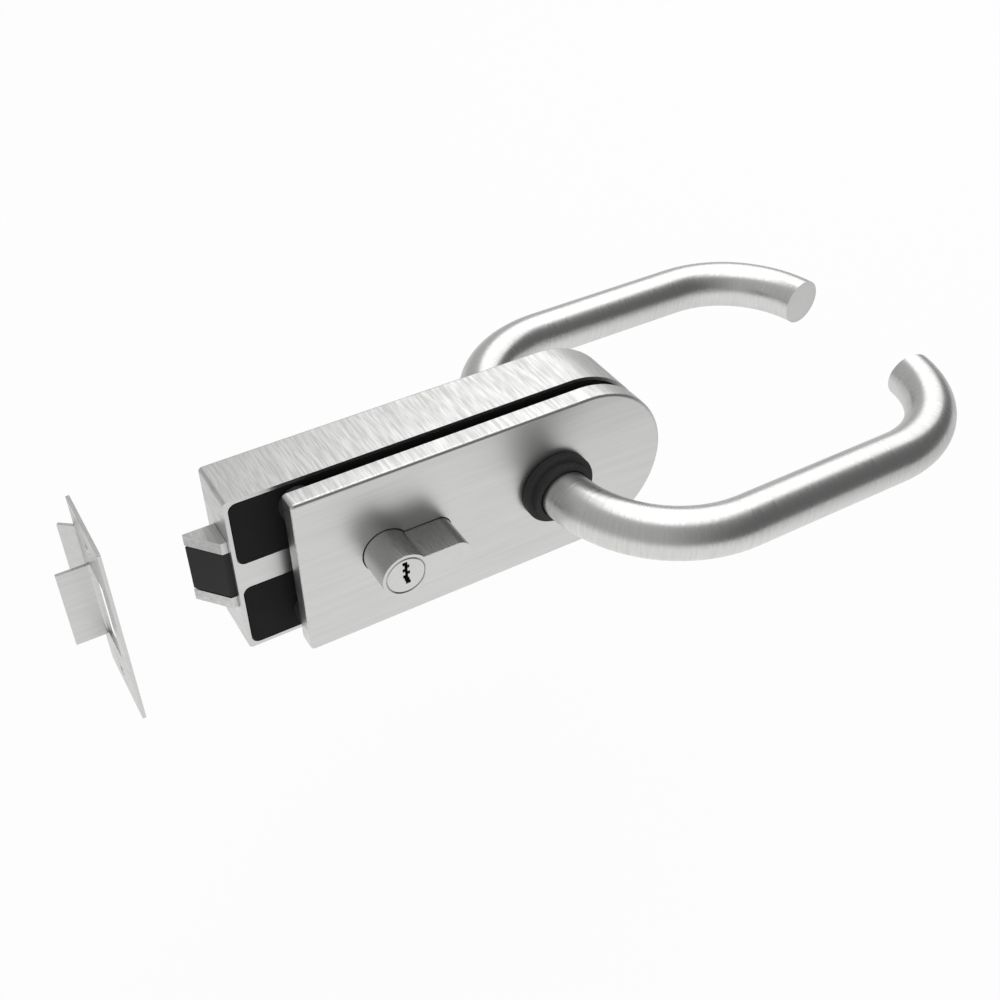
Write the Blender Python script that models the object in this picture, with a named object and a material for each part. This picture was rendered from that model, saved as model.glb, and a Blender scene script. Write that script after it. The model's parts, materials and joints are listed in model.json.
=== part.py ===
"""Lever lock set for a frameless glass door, with its strike plate.

The lock case sits behind the glass and the cover in front of it.  The origin is
the centre of the case's glass side: +X runs from the latch to the round end,
+Y away from the glass into the case, +Z up.  Sizes are in millimetres.
"""

import math

import bmesh
import bpy
from mathutils import Matrix, Vector

MM = 0.001
FIT = 0.3                    # gap between pieces that touch
RUN = 0.3                    # gap round pieces that move

# Case and cover
CASE_LENGTH = 160.0
CASE_HEIGHT = 64.0
CASE_DEPTH = 22.0
CASE_WALL = 3.2
CASE_REAR_WALL = 2.2
CASE_GLASS_WALL = 2.4
CASE_EDGE_ROUND = 1.0
CASE_CORNER_ROUND = 1.5
GLASS_SLOT = 5.3
COVER_DEPTH = 7.2
COVER_SETBACK = 17.7
COVER_SKIN = 1.6
COVER_EDGE_CHAMFER = 0.7
COVER_CORNER_ROUND = 1.5
RIM = 1.4
COVER_RIM = 2.0

# Black glass pads and the metal bridge between them
BRIDGE_HEIGHT = 10.2
PAD_THICKNESS = 0.9
PAD_CORNER = 3.0
CYLINDER_BOSS_MARGIN = 3.0
LEVER_BOSS_RADIUS = 16.5

# Base plate that closes the case on the glass side
PLATE_FROM_LEFT = 32.0
PLATE_THICKNESS = 2.0
PLATE_SCREW_RADIUS = 1.5
PLATE_SCREW_HEAD_RADIUS = 2.9
PLATE_SCREW_HEAD_DEPTH = 1.4
PLATE_SCREW_LENGTH = 9.0
SOCKET_SHARE = 0.5
SOCKET_DEPTH_SHARE = 0.7
PLATE_SCREW_INSET = 6.0
PLATE_SCREW_FROM_LEVER = 13.0
PLATE_SCREW_HEIGHT = 25.6
PLATE_POST_RADIUS = 3.4

# Clamp screws through the glass
CLAMP_SCREW_RADIUS = 2.4
CLAMP_HEAD_RADIUS = 4.8
CLAMP_HEAD_DEPTH = 2.6
CLAMP_POST_RADIUS = 5.2
CLAMP_LEFT_INSET = 6.3
CLAMP_LEFT_HEIGHT = 22.8
CLAMP_PAST_ROUND = 11.0
CLAMP_RIGHT_HEIGHT = 15.5
SLEEVE_RADIUS = 6.5
CLAMP_THREAD_DEPTH = 5.0

# Latch
LATCH_HEIGHT = 28.7
LATCH_THICKNESS = 10.95
LATCH_FRONT_Y = 2.75
LATCH_PROJECTION = 11.2
LATCH_SHOULDER = 2.2
LATCH_BODY_LENGTH = 18.5
LATCH_TRAVEL = 10.9
LATCH_INSERT_HEIGHT = 18.7
LATCH_INSERT_LENGTH = 19.0
TAIL_HEIGHT = 5.0
TAIL_THICKNESS = 2.0
TAIL_FRONT_Y = 4.0
TAIL_HOOK_HEIGHT = 3.2
TAIL_HOOK_WIDTH = 2.2
GUIDE_WALL = 2.7
GUIDE_LENGTH = 14.0
LATCH_SPRING_RADIUS = 3.0
LATCH_SPRING_WIRE = 0.45
LATCH_SPRING_TURNS = 7
SPRING_POCKET_DEPTH = 8.0
SPRING_POCKET_GAP = 1.2
LATCH_POST_WIDTH = 2.4
LATCH_POST_HALF_HEIGHT = 4.8

# Euro-profile cylinder, leg towards the handle
CYLINDER_FROM_LEFT = 48.4
CYLINDER_ROUND_RADIUS = 8.5
CYLINDER_LEG_WIDTH = 10.0
CYLINDER_LEG_END = 24.5
CYLINDER_FRONT_LENGTH = 39.1
CYLINDER_REAR_LENGTH = 30.0
CAM_Y = 12.0
CAM_WIDTH = 9.4
CAM_HUB_RADIUS = 7.8
CAM_LOBE_RADIUS = 15.4
CAM_LOBE_WIDTH = 7.6
CAM_REST_ANGLE = 60.0
CYLINDER_HOLE_GAP = 0.4
PLUG_RADIUS = 7.0
PLUG_SINK = 0.35
FACE_CHAMFER = 0.5
KEYWAY_HEIGHT = 9.4
KEYWAY_WIDTH = 1.7
KEYWAY_DEPTH = 24.0
FIXING_SCREW_FROM_AXIS = 20.2
FIXING_SCREW_RADIUS = 2.4
FIXING_HEAD_RADIUS = 4.6
FIXING_HEAD_DEPTH = 2.5
FIXING_SCREW_PAST_AXIS = 3.5

# Locking slide that the cam pushes
SLIDE_FRONT_Y = 6.3
SLIDE_THICKNESS = 2.6
SLIDE_HEIGHT = 5.2
SLIDE_TOOTH_TOP = -13.5
SLIDE_TRAVEL = 5.0
SLIDE_NOSE_GAP = 0.8
SLIDE_PIN_RADIUS = 1.4
SLIDE_NOTCH_DEPTH = 2.4
SLIDE_TOOTH_WIDTH = 4.0
SLIDE_PIN_FROM_CYLINDER = 9.4
SLIDE_PIN_FROM_LEVER = 33.0
SLIDE_PIN_SHOULDER = 0.9
SLIDE_PIN_COVERED = 1.3
SLIDE_PIN_FRONT_Y = 4.2

# Follower and spindle
LEVER_FROM_ROUND = 13.0
LEVER_TURN = 40.0
FOLLOWER_RADIUS = 9.0
FOLLOWER_FRONT_Y = 6.6
FOLLOWER_REAR_Y = 16.4
JOURNAL_RADIUS = 7.0
JOURNAL_FRONT_Y = 2.0
JOURNAL_REAR_Y = 19.3
BEARING_WALL = 1.5
REAR_BEARING_FLANGE = 13.6
ARM_WIDTH = 3.2
ARM_REACH = 17.0
ARM_FRONT_Y = 7.0
LATCH_ARM_REAR_Y = 11.0
SPRING_ARM_REAR_Y = 16.0
SPINDLE_SIDE = 7.9
SPINDLE_PAST_FACE = 12.5
RETURN_SPRING_RADIUS = 2.4
RETURN_SPRING_WIRE = 0.45
RETURN_SPRING_TURNS = 4
RETURN_SPRING_HEIGHT = -12.0
RETURN_SPRING_Y = 13.3
RETURN_POST_FROM_LEVER = 19.5
RETURN_POST_WIDTH = 2.4
RETURN_POST_MARGIN = 1.1
ARM_ROOT_DEPTH = 1.5

# Levers
TUBE_RADIUS = 9.5
TUBE_WALL = 1.6
TUBE_END_THICKNESS = 2.0
LEVER_PROJECTION = 50.5
LEVER_REACH = 154.8
NECK_BEND_RADIUS = 45.5
END_BEND_RADIUS = 42.0
LEVER_RETURN = 36.0
LEVER_END_CHAMFER = 0.5
BUSH_FLANGE_RADIUS = 13.7
BUSH_FLANGE_THICKNESS = 3.0
BUSH_COLLAR_RADIUS = 11.4
BUSH_COLLAR_THICKNESS = 3.0
BUSH_SPIGOT_RADIUS = 11.7
FRONT_NECK_DEPTH = 5.4
REAR_NECK_DEPTH = 1.8
GRUB_RADIUS = 1.6
GRUB_FROM_FACE = 8.3
GRUB_SUNK = 0.2
SOCKET_PAST_GRUB = 0.9
SOCKET_GAP = 0.8

# Strike plate
STRIKE_FROM_CASE = 41.2
STRIKE_THICKNESS = 1.2
STRIKE_WIDTH = 32.5
STRIKE_HEIGHT = 72.0
STRIKE_CORNER = 1.0
STRIKE_OPENING_HEIGHT = 31.0
STRIKE_OPENING_WIDTH = 13.6
STRIKE_PAST_LATCH = 0.7
STRIKE_TONGUE_LENGTH = 10.8
STRIKE_TONGUE_HEIGHT = 30.4
STRIKE_LIP_LENGTH = 6.5
STRIKE_LIP_ANGLE = 52.0
STRIKE_LIP_HEIGHT = 48.0
STRIKE_SCREW_SPACING = 54.0
STRIKE_HOLE_RADIUS = 2.3
STRIKE_SINK_RADIUS = 4.2

# Sizes that follow from the ones above
HALF_HEIGHT = CASE_HEIGHT / 2
LEFT_X = -CASE_LENGTH / 2
ROUND_X = CASE_LENGTH / 2 - HALF_HEIGHT
COVER_LEFT_X = LEFT_X + COVER_SETBACK
PLATE_LEFT_X = LEFT_X + PLATE_FROM_LEFT
CYLINDER_X = LEFT_X + CYLINDER_FROM_LEFT
LEVER_X = ROUND_X - LEVER_FROM_ROUND
LEVER_FAR_X = LEVER_X + LEVER_REACH
STRIKE_BACK_X = LEFT_X - STRIKE_FROM_CASE
RETURN_POST_X = LEVER_X - RETURN_POST_FROM_LEVER
SLIDE_PIN_PLACES = (CYLINDER_X - SLIDE_PIN_FROM_CYLINDER,
                    LEVER_X - SLIDE_PIN_FROM_LEVER)
CLAMP_SCREW_PLACES = ((COVER_LEFT_X + CLAMP_LEFT_INSET, CLAMP_LEFT_HEIGHT),
                      (COVER_LEFT_X + CLAMP_LEFT_INSET, -CLAMP_LEFT_HEIGHT),
                      (ROUND_X + CLAMP_PAST_ROUND, CLAMP_RIGHT_HEIGHT),
                      (ROUND_X + CLAMP_PAST_ROUND, -CLAMP_RIGHT_HEIGHT))
PLATE_SCREW_PLACES = ((PLATE_LEFT_X + PLATE_SCREW_INSET, PLATE_SCREW_HEIGHT),
                      (PLATE_LEFT_X + PLATE_SCREW_INSET, -PLATE_SCREW_HEIGHT),
                      (LEVER_X - PLATE_SCREW_FROM_LEVER, PLATE_SCREW_HEIGHT),
                      (LEVER_X - PLATE_SCREW_FROM_LEVER, -PLATE_SCREW_HEIGHT))
COVER_BACK_Y = -GLASS_SLOT
COVER_FACE_Y = COVER_BACK_Y - COVER_DEPTH
PAD_POCKET = PAD_THICKNESS + FIT
PLATE_FRONT_Y = PAD_POCKET + FIT
PLATE_BACK_Y = PLATE_FRONT_Y + PLATE_THICKNESS
LEDGE_Y = PLATE_BACK_Y + FIT
CAVITY_REAR_Y = CASE_DEPTH - CASE_REAR_WALL
LATCH_REAR_Y = LATCH_FRONT_Y + LATCH_THICKNESS
LATCH_TIP_X = LEFT_X - LATCH_PROJECTION
LATCH_BACK_X = LEFT_X + LATCH_BODY_LENGTH
LATCH_MID_Y = (LATCH_FRONT_Y + LATCH_REAR_Y) / 2
SPRING_POST_X = CYLINDER_X - CAM_LOBE_RADIUS - RUN - LATCH_POST_WIDTH
TAIL_BOTTOM = CYLINDER_ROUND_RADIUS + 2 * FIT + 0.1
TUBE_BORE_RADIUS = TUBE_RADIUS - TUBE_WALL
BUSH_BORE_RADIUS = TUBE_RADIUS + RUN
SOCKET_RADIUS = TUBE_BORE_RADIUS - SOCKET_GAP
SQUARE_HOLE_SIDE = SPINDLE_SIDE + 2 * FIT
STRIKE_MID_Y = LATCH_MID_Y
ROUND_STEPS = 28


class Finish:
    """Materials of the lock, made once each."""

    def __init__(self):
        self.steel = self.make("brushed_steel", (0.62, 0.62, 0.61), 0.35, 1.0)
        self.tube = self.make("tube_steel", (0.66, 0.66, 0.65), 0.28, 1.0)
        self.zinc = self.make("zinc_steel", (0.55, 0.56, 0.57), 0.4, 1.0)
        self.nickel = self.make("nickel", (0.70, 0.69, 0.67), 0.25, 1.0)
        self.rubber = self.make("black_rubber", (0.015, 0.015, 0.015), 0.7, 0.0)
        self.black = self.make("black_plastic", (0.03, 0.03, 0.03), 0.45, 0.0)
        self.acetal = self.make("white_acetal", (0.8, 0.8, 0.78), 0.4, 0.0)

    @staticmethod
    def make(name, colour, roughness, metallic):
        material = bpy.data.materials.new(name)
        material.use_nodes = True
        shader = material.node_tree.nodes["Principled BSDF"]
        shader.inputs["Base Color"].default_value = (*colour, 1.0)
        shader.inputs["Roughness"].default_value = roughness
        shader.inputs["Metallic"].default_value = metallic
        material.diffuse_color = (*colour, 1.0)
        return material


def clear_scene():
    for old in list(bpy.data.objects):
        bpy.data.objects.remove(old, do_unlink=True)


def joint_empty(name, x, y, z):
    empty = bpy.data.objects.new(name, None)
    empty.location = Vector((x, y, z)) * MM
    bpy.context.scene.collection.objects.link(empty)
    return empty


def finish_object(mesh, name, material, carrier=None):
    """Smooth the round faces and set the object's origin on its carrier's axis."""
    bm = bmesh.new()
    bm.from_mesh(mesh)
    bmesh.ops.recalc_face_normals(bm, faces=bm.faces)
    bm.to_mesh(mesh)
    bm.free()
    obj = bpy.data.objects.new(name, mesh)
    bpy.context.scene.collection.objects.link(obj)
    if material:
        mesh.materials.append(material)
    if carrier:
        mesh.transform(Matrix.Translation(-carrier.location))
        obj.parent = carrier
    mesh.shade_smooth()
    mesh.set_sharp_from_angle(angle=math.radians(32))
    return obj


def to_world(axis, along, u, v):
    """A point given along an axis and in the plane across it."""
    if axis == "X":
        point = (along, u, v)
    elif axis == "Y":
        point = (u, along, v)
    else:
        point = (u, v, along)
    return Vector(point) * MM


def prism(name, outline, low, high, material=None, axis="Y", carrier=None,
          round_low=0.0, round_high=0.0, round_steps=2):
    """Extrude an outline, with the edges of its low or high end rounded."""
    bm = bmesh.new()
    bottom = [bm.verts.new(to_world(axis, low, u, v)) for u, v in outline]
    top = [bm.verts.new(to_world(axis, high, u, v)) for u, v in outline]
    ends = {"low": bm.faces.new(bottom), "high": bm.faces.new(top)}
    count = len(outline)
    for i in range(count):
        j = (i + 1) % count
        bm.faces.new((bottom[i], bottom[j], top[j], top[i]))
    bmesh.ops.recalc_face_normals(bm, faces=bm.faces)
    for end, radius in (("low", round_low), ("high", round_high)):
        if radius:
            bmesh.ops.bevel(bm, geom=list(ends[end].edges), offset=radius * MM,
                            segments=round_steps, profile=0.5, affect="EDGES")
    mesh = bpy.data.meshes.new(name)
    bm.to_mesh(mesh)
    bm.free()
    return finish_object(mesh, name, material, carrier)


def box(name, x, y, z, material=None, carrier=None):
    outline = [(x[0], z[0]), (x[1], z[0]), (x[1], z[1]), (x[0], z[1])]
    return prism(name, outline, y[0], y[1], material, carrier=carrier)


def arc(cx, cz, radius, start, end, steps):
    """Points on an arc, both ends included, angles in degrees."""
    points = []
    for i in range(steps + 1):
        angle = math.radians(start + (end - start) * i / steps)
        points.append((cx + radius * math.cos(angle), cz + radius * math.sin(angle)))
    return points


def circle(cx, cz, radius, steps=ROUND_STEPS):
    return arc(cx, cz, radius, 0, 360 - 360 / steps, steps - 1)


def rounded_box(x0, x1, z0, z1, radius, steps=5):
    return (arc(x1 - radius, z1 - radius, radius, 0, 90, steps)
            + arc(x0 + radius, z1 - radius, radius, 90, 180, steps)
            + arc(x0 + radius, z0 + radius, radius, 180, 270, steps)
            + arc(x1 - radius, z0 + radius, radius, 270, 360, steps))


def turned(name, profile, axis, cu, cv, material=None, carrier=None,
           steps=ROUND_STEPS):
    """Turn a profile of (along, radius) points round an axis.

    A profile that starts and ends on the axis makes a solid piece, and one that
    stays off it makes a ring.
    """
    bm = bmesh.new()
    rings = []
    for along, radius in profile:
        if radius == 0:
            rings.append([bm.verts.new(to_world(axis, along, cu, cv))])
            continue
        ring = circle(cu, cv, radius, steps)
        rings.append([bm.verts.new(to_world(axis, along, u, v)) for u, v in ring])
    closed = profile[0][1] != 0
    pairs = list(zip(rings, rings[1:]))
    if closed:
        pairs.append((rings[-1], rings[0]))
    for a, b in pairs:
        for i in range(steps):
            j = (i + 1) % steps
            if len(a) == 1:
                bm.faces.new((a[0], b[i], b[j]))
            elif len(b) == 1:
                bm.faces.new((a[i], b[0], a[j]))
            else:
                bm.faces.new((a[i], b[i], b[j], a[j]))
    mesh = bpy.data.meshes.new(name)
    bm.to_mesh(mesh)
    bm.free()
    return finish_object(mesh, name, material, carrier)


def pin(name, axis, cu, cv, radius, low, high, material=None, carrier=None,
        steps=32):
    profile = [(low, 0), (low, radius), (high, radius), (high, 0)]
    return turned(name, profile, axis, cu, cv, material, carrier, steps)


def boolean(target, tool, operation):
    modifier = target.modifiers.new(tool.name, "BOOLEAN")
    modifier.object = tool
    modifier.operation = operation
    modifier.solver = "EXACT"
    tool.display_type = "WIRE"
    tool.hide_render = True


def cut(target, *tools):
    for tool in tools:
        boolean(target, tool, "DIFFERENCE")


def add(target, *tools):
    for tool in tools:
        boolean(target, tool, "UNION")


def lock_outline(left_x, inset=0.0, corner=0.0):
    """Side view of case and cover: square at the latch end, round at the other."""
    half = HALF_HEIGHT - inset
    points = arc(ROUND_X, 0, half, -90, 90, 20)
    if corner:
        points += arc(left_x + corner, half - corner, corner, 90, 180, 4)
        points += arc(left_x + corner, corner - half, corner, 180, 270, 4)
    else:
        points += [(left_x, half), (left_x, -half)]
    return points


def pad_outline(left_x, inset, bridge_gap, corner):
    """Upper pad: inside the rim and above the bridge, with round left corners."""
    half = HALF_HEIGHT - inset
    low = BRIDGE_HEIGHT / 2 + bridge_gap
    start = math.degrees(math.asin(low / half))
    points = arc(ROUND_X, 0, half, start, 90, 12)
    if corner:
        points += arc(left_x + corner, half - corner, corner, 90, 180, 5)
        points += arc(left_x + corner, low + corner, corner, 180, 270, 5)
    else:
        points += [(left_x, half), (left_x, low)]
    return points


def mirrored(outline):
    return [(x, -z) for x, z in outline]


def cylinder_outline(gap=0.0):
    """Euro profile: a round with a leg towards +X."""
    radius = CYLINDER_ROUND_RADIUS + gap
    half = CYLINDER_LEG_WIDTH / 2 + gap
    meet = math.degrees(math.asin(half / radius))
    leg_x = CYLINDER_X + CYLINDER_LEG_END - CYLINDER_LEG_WIDTH / 2
    return (arc(CYLINDER_X, 0, radius, meet, 360 - meet, 28)
            + arc(leg_x, 0, half, -90, 90, 10))


def countersunk_profile(radius, head_radius, head_depth, head_at, tip_at):
    """Profile of a countersunk screw with a socket in its head."""
    way = 1 if tip_at > head_at else -1
    recess = head_radius * SOCKET_SHARE
    floor = head_at + way * head_depth * SOCKET_DEPTH_SHARE
    return [(floor, 0), (floor, recess), (head_at, recess), (head_at, head_radius),
            (head_at + way * head_depth, radius), (tip_at, radius), (tip_at, 0)]


def countersink(name, x, z, hole_radius, head_radius, head_depth, face_y, through_y,
                steps=24):
    """Cutter for a hole with a conical mouth at face_y."""
    way = 1 if through_y > face_y else -1
    profile = [(face_y - way, 0),
               (face_y - way, head_radius),
               (face_y, head_radius),
               (face_y + way * head_depth, hole_radius),
               (through_y, hole_radius),
               (through_y, 0)]
    return turned(name, profile, "Y", x, z, steps=steps)


def coil(name, axis, cu, cv, radius, wire, low, high, turns, material,
         wire_sides=4, turn_steps=8):
    """Compression spring: a wire swept along a helix between two ends."""
    bm = bmesh.new()
    total = turns * turn_steps
    first = low + wire
    pitch = (high - low - 2 * wire) / total
    previous = None
    for i in range(total + 1):
        angle = 2 * math.pi * i / turn_steps
        centre = (first + pitch * i, radius * math.cos(angle), radius * math.sin(angle))
        ring = []
        for k in range(wire_sides):
            turn = 2 * math.pi * k / wire_sides
            out = radius + wire * math.cos(turn)
            along = centre[0] + wire * math.sin(turn)
            u = cu + out * math.cos(angle)
            v = cv + out * math.sin(angle)
            ring.append(bm.verts.new(to_world(axis, along, u, v)))
        if previous:
            for k in range(wire_sides):
                n = (k + 1) % wire_sides
                bm.faces.new((previous[k], previous[n], ring[n], ring[k]))
        else:
            bm.faces.new(ring)
        previous = ring
    bm.faces.new(previous)
    mesh = bpy.data.meshes.new(name)
    bm.to_mesh(mesh)
    bm.free()
    return finish_object(mesh, name, material)


def base_boss_cutters(name, gap, low, high):
    """Cutters round the cylinder and the lever, which the pads leave free."""
    margin = CYLINDER_BOSS_MARGIN + gap
    half = CYLINDER_ROUND_RADIUS + margin
    left = CYLINDER_X - half
    right = CYLINDER_X + CYLINDER_LEG_END + margin
    around_cylinder = prism(name + "_cylinder_zone",
                            rounded_box(left, right, -half, half, 3.0), low, high)
    around_lever = pin(name + "_lever_zone", "Y", LEVER_X, 0,
                       LEVER_BOSS_RADIUS + gap, low, high, steps=ROUND_STEPS)
    return around_cylinder, around_lever


def clamp_holes(name, radius, low, high, places=CLAMP_SCREW_PLACES, steps=16):
    return [pin(f"{name}_{i}", "Y", x, z, radius, low, high, steps=steps)
            for i, (x, z) in enumerate(places)]


def make_rear_case(finish):
    """Case shell: walls, posts, latch window and holes for cylinder and lever."""
    case = prism("rear_case", lock_outline(LEFT_X, corner=CASE_CORNER_ROUND), 0,
                 CASE_DEPTH, finish.steel, round_high=CASE_EDGE_ROUND)
    cavity = prism("case_cavity", lock_outline(LEFT_X + CASE_WALL, CASE_WALL, 2.0),
                   CASE_GLASS_WALL, CAVITY_REAR_Y)
    seat = prism("plate_seat", lock_outline(PLATE_LEFT_X, RIM), -1, LEDGE_Y)
    cut(case, cavity, seat)
    posts = [pin(f"clamp_post_{i}", "Y", x, z, CLAMP_POST_RADIUS,
                 CASE_GLASS_WALL if x < PLATE_LEFT_X else LEDGE_Y,
                 CAVITY_REAR_Y + 0.5, steps=14)
             for i, (x, z) in enumerate(CLAMP_SCREW_PLACES)]
    posts += [pin(f"plate_post_{i}", "Y", x, z, PLATE_POST_RADIUS, LEDGE_Y,
                  CAVITY_REAR_Y + 0.5, steps=14)
              for i, (x, z) in enumerate(PLATE_SCREW_PLACES)]
    posts.append(box("latch_spring_post", (SPRING_POST_X, SPRING_POST_X + LATCH_POST_WIDTH),
                     (LEDGE_Y, CAVITY_REAR_Y + 0.5),
                     (-LATCH_POST_HALF_HEIGHT, LATCH_POST_HALF_HEIGHT)))
    margin = RETURN_SPRING_RADIUS + RETURN_POST_MARGIN
    posts.append(box("return_spring_post",
                     (RETURN_POST_X, RETURN_POST_X + RETURN_POST_WIDTH),
                     (RETURN_SPRING_Y - margin, CAVITY_REAR_Y + 0.5),
                     (RETURN_SPRING_HEIGHT - margin, RETURN_SPRING_HEIGHT + margin)))
    add(case, *posts)
    pocket = pad_outline(LEFT_X + RIM, RIM, 0, PAD_CORNER)
    pocket_end = PLATE_LEFT_X + 1
    pocket = [(min(x, pocket_end), z) for x, z in pocket[11:]]
    pocket.append((pocket_end, BRIDGE_HEIGHT / 2))
    for name, outline in (("upper_pocket", pocket), ("lower_pocket", mirrored(pocket))):
        cut(case, prism(name, outline, -1, PAD_POCKET))
    window = LATCH_HEIGHT / 2 + RUN
    cut(case, box("latch_window", (LEFT_X - 2, LEFT_X + CASE_WALL + 1),
                  (LATCH_FRONT_Y - RUN, LATCH_REAR_Y + RUN), (-window, window)))
    cut(case, prism("case_cylinder_hole", cylinder_outline(CYLINDER_HOLE_GAP),
                    CAVITY_REAR_Y - 1, CASE_DEPTH + 1))
    cut(case, pin("case_lever_hole", "Y", LEVER_X, 0, BUSH_SPIGOT_RADIUS + FIT,
                  CAVITY_REAR_Y - 1, CASE_DEPTH + 1, steps=ROUND_STEPS))
    for i, (x, z) in enumerate(CLAMP_SCREW_PLACES):
        cut(case, countersink(f"case_clamp_hole_{i}", x, z,
                              CLAMP_SCREW_RADIUS + FIT, CLAMP_HEAD_RADIUS + FIT,
                              CLAMP_HEAD_DEPTH, CASE_DEPTH, -1, steps=16))
    for i, (x, z) in enumerate(PLATE_SCREW_PLACES):
        cut(case, pin(f"plate_thread_{i}", "Y", x, z, PLATE_SCREW_RADIUS + FIT,
                      LEDGE_Y - 1, PLATE_FRONT_Y + PLATE_SCREW_LENGTH + 1, steps=16))
    for i, x in enumerate(SLIDE_PIN_PLACES):
        cut(case, pin(f"slide_pin_hole_{i}", "Y", x, slide_mid(),
                      SLIDE_PIN_RADIUS + FIT, CAVITY_REAR_Y - 1, CASE_DEPTH - 1,
                      steps=16))
    screw_x = CYLINDER_X + FIXING_SCREW_FROM_AXIS
    profile = [(-HALF_HEIGHT - 1, 0),
               (-HALF_HEIGHT - 1, FIXING_HEAD_RADIUS + FIT),
               (-HALF_HEIGHT, FIXING_HEAD_RADIUS + FIT),
               (FIXING_HEAD_DEPTH - HALF_HEIGHT, FIXING_SCREW_RADIUS + FIT),
               (CASE_WALL + 1 - HALF_HEIGHT, FIXING_SCREW_RADIUS + FIT),
               (CASE_WALL + 1 - HALF_HEIGHT, 0)]
    cut(case, turned("fixing_screw_hole", profile, "Z", screw_x, CAM_Y, steps=24))
    return case


def slide_mid():
    return SLIDE_TOOTH_TOP - SLIDE_NOTCH_DEPTH - SLIDE_HEIGHT / 2


def make_base_plate(finish):
    """Plate with a raised bridge that closes the case under the glass pads."""
    plate = prism("base_plate", lock_outline(PLATE_LEFT_X + FIT, RIM + FIT),
                  PLATE_FRONT_Y, PLATE_BACK_Y, finish.zinc)
    inside = [place for place in CLAMP_SCREW_PLACES if place[0] > PLATE_LEFT_X]
    cut(plate, *clamp_holes("plate_clamp", CLAMP_SCREW_RADIUS + FIT, -1,
                            PLATE_BACK_Y + 1, inside))
    for i, (x, z) in enumerate(PLATE_SCREW_PLACES, 1):
        cut(plate, countersink(f"plate_screw_hole_{i}", x, z,
                               PLATE_SCREW_RADIUS + FIT,
                               PLATE_SCREW_HEAD_RADIUS + FIT, PLATE_SCREW_HEAD_DEPTH,
                               PLATE_FRONT_Y, PLATE_BACK_Y + 1, steps=16))
        screw = countersunk_profile(PLATE_SCREW_RADIUS, PLATE_SCREW_HEAD_RADIUS,
                                    PLATE_SCREW_HEAD_DEPTH, PLATE_FRONT_Y,
                                    PLATE_FRONT_Y + PLATE_SCREW_LENGTH)
        turned(f"base_plate_screw_{i}", screw, "Y", x, z, finish.zinc, steps=16)
    half = BRIDGE_HEIGHT / 2
    reach = ROUND_X + HALF_HEIGHT - RIM - 4 * FIT
    overlap = PLATE_FRONT_Y + PLATE_THICKNESS / 4
    bridge = prism("plate_bridge", [(PLATE_LEFT_X + FIT, -half), (reach, -half),
                                    (reach, half), (PLATE_LEFT_X + FIT, half)],
                   0, overlap)
    add(plate, bridge, *base_boss_cutters("plate", 0, 0, overlap))
    cut(plate, prism("plate_cylinder_hole", cylinder_outline(CYLINDER_HOLE_GAP),
                     -1, PLATE_BACK_Y + 1))
    cut(plate, pin("plate_bearing_hole", "Y", LEVER_X, 0,
                   JOURNAL_RADIUS + RUN + BEARING_WALL + FIT, -1, PLATE_BACK_Y + 1,
                   steps=ROUND_STEPS))


def make_case_pads(finish):
    """Thin black pads that lie in the case and on the base plate."""
    outline = pad_outline(LEFT_X + RIM + FIT, RIM + FIT, FIT, PAD_CORNER - FIT)
    for name, shape in (("upper_case_pad", outline), ("lower_case_pad", mirrored(outline))):
        pad = prism(name, shape, 0, PAD_THICKNESS, finish.rubber)
        cut(pad, *base_boss_cutters(name, FIT, -1, PAD_THICKNESS + 1))
        cut(pad, *clamp_holes(name, CLAMP_SCREW_RADIUS + FIT, -1, PAD_THICKNESS + 1))


def make_cover(finish):
    """Front cover: a tray with bosses, open to the glass and at its latch end."""
    outline = lock_outline(COVER_LEFT_X, corner=COVER_CORNER_ROUND)
    cover = prism("front_cover", outline, COVER_FACE_Y, COVER_BACK_Y, finish.steel,
                  round_low=COVER_EDGE_CHAMFER)
    floor_y = COVER_FACE_Y + COVER_SKIN
    pocket = pad_outline(COVER_LEFT_X - 1, COVER_RIM, 0, 0)
    for name, outline in (("upper_tray", pocket), ("lower_tray", mirrored(pocket))):
        tray = prism(name, outline, floor_y, COVER_BACK_Y + 1)
        cut(tray, *base_boss_cutters(name, 0, floor_y - 1, COVER_BACK_Y + 2))
        cut(tray, *clamp_holes(name, CLAMP_POST_RADIUS, floor_y - 1,
                               COVER_BACK_Y + 2))
        cut(cover, tray)
    cut(cover, prism("cover_cylinder_hole", cylinder_outline(CYLINDER_HOLE_GAP),
                     COVER_FACE_Y - 1, COVER_BACK_Y + 1))
    cut(cover, pin("cover_lever_hole", "Y", LEVER_X, 0, BUSH_SPIGOT_RADIUS + FIT,
                   COVER_FACE_Y - 1, COVER_BACK_Y + 1, steps=ROUND_STEPS))
    cut(cover, *clamp_holes("cover_thread", CLAMP_SCREW_RADIUS + FIT,
                            COVER_BACK_Y - CLAMP_THREAD_DEPTH - FIT,
                            COVER_BACK_Y + 1))
    outline = pad_outline(COVER_LEFT_X, COVER_RIM + FIT, FIT, 0)
    for name, shape in (("upper_cover_pad", outline), ("lower_cover_pad", mirrored(outline))):
        pad = prism(name, shape, floor_y + FIT, COVER_BACK_Y, finish.rubber)
        cut(pad, *base_boss_cutters(name, FIT, floor_y - 1, COVER_BACK_Y + 1))
        cut(pad, *clamp_holes(name, CLAMP_POST_RADIUS + FIT, floor_y - 1,
                              COVER_BACK_Y + 1))


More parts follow.
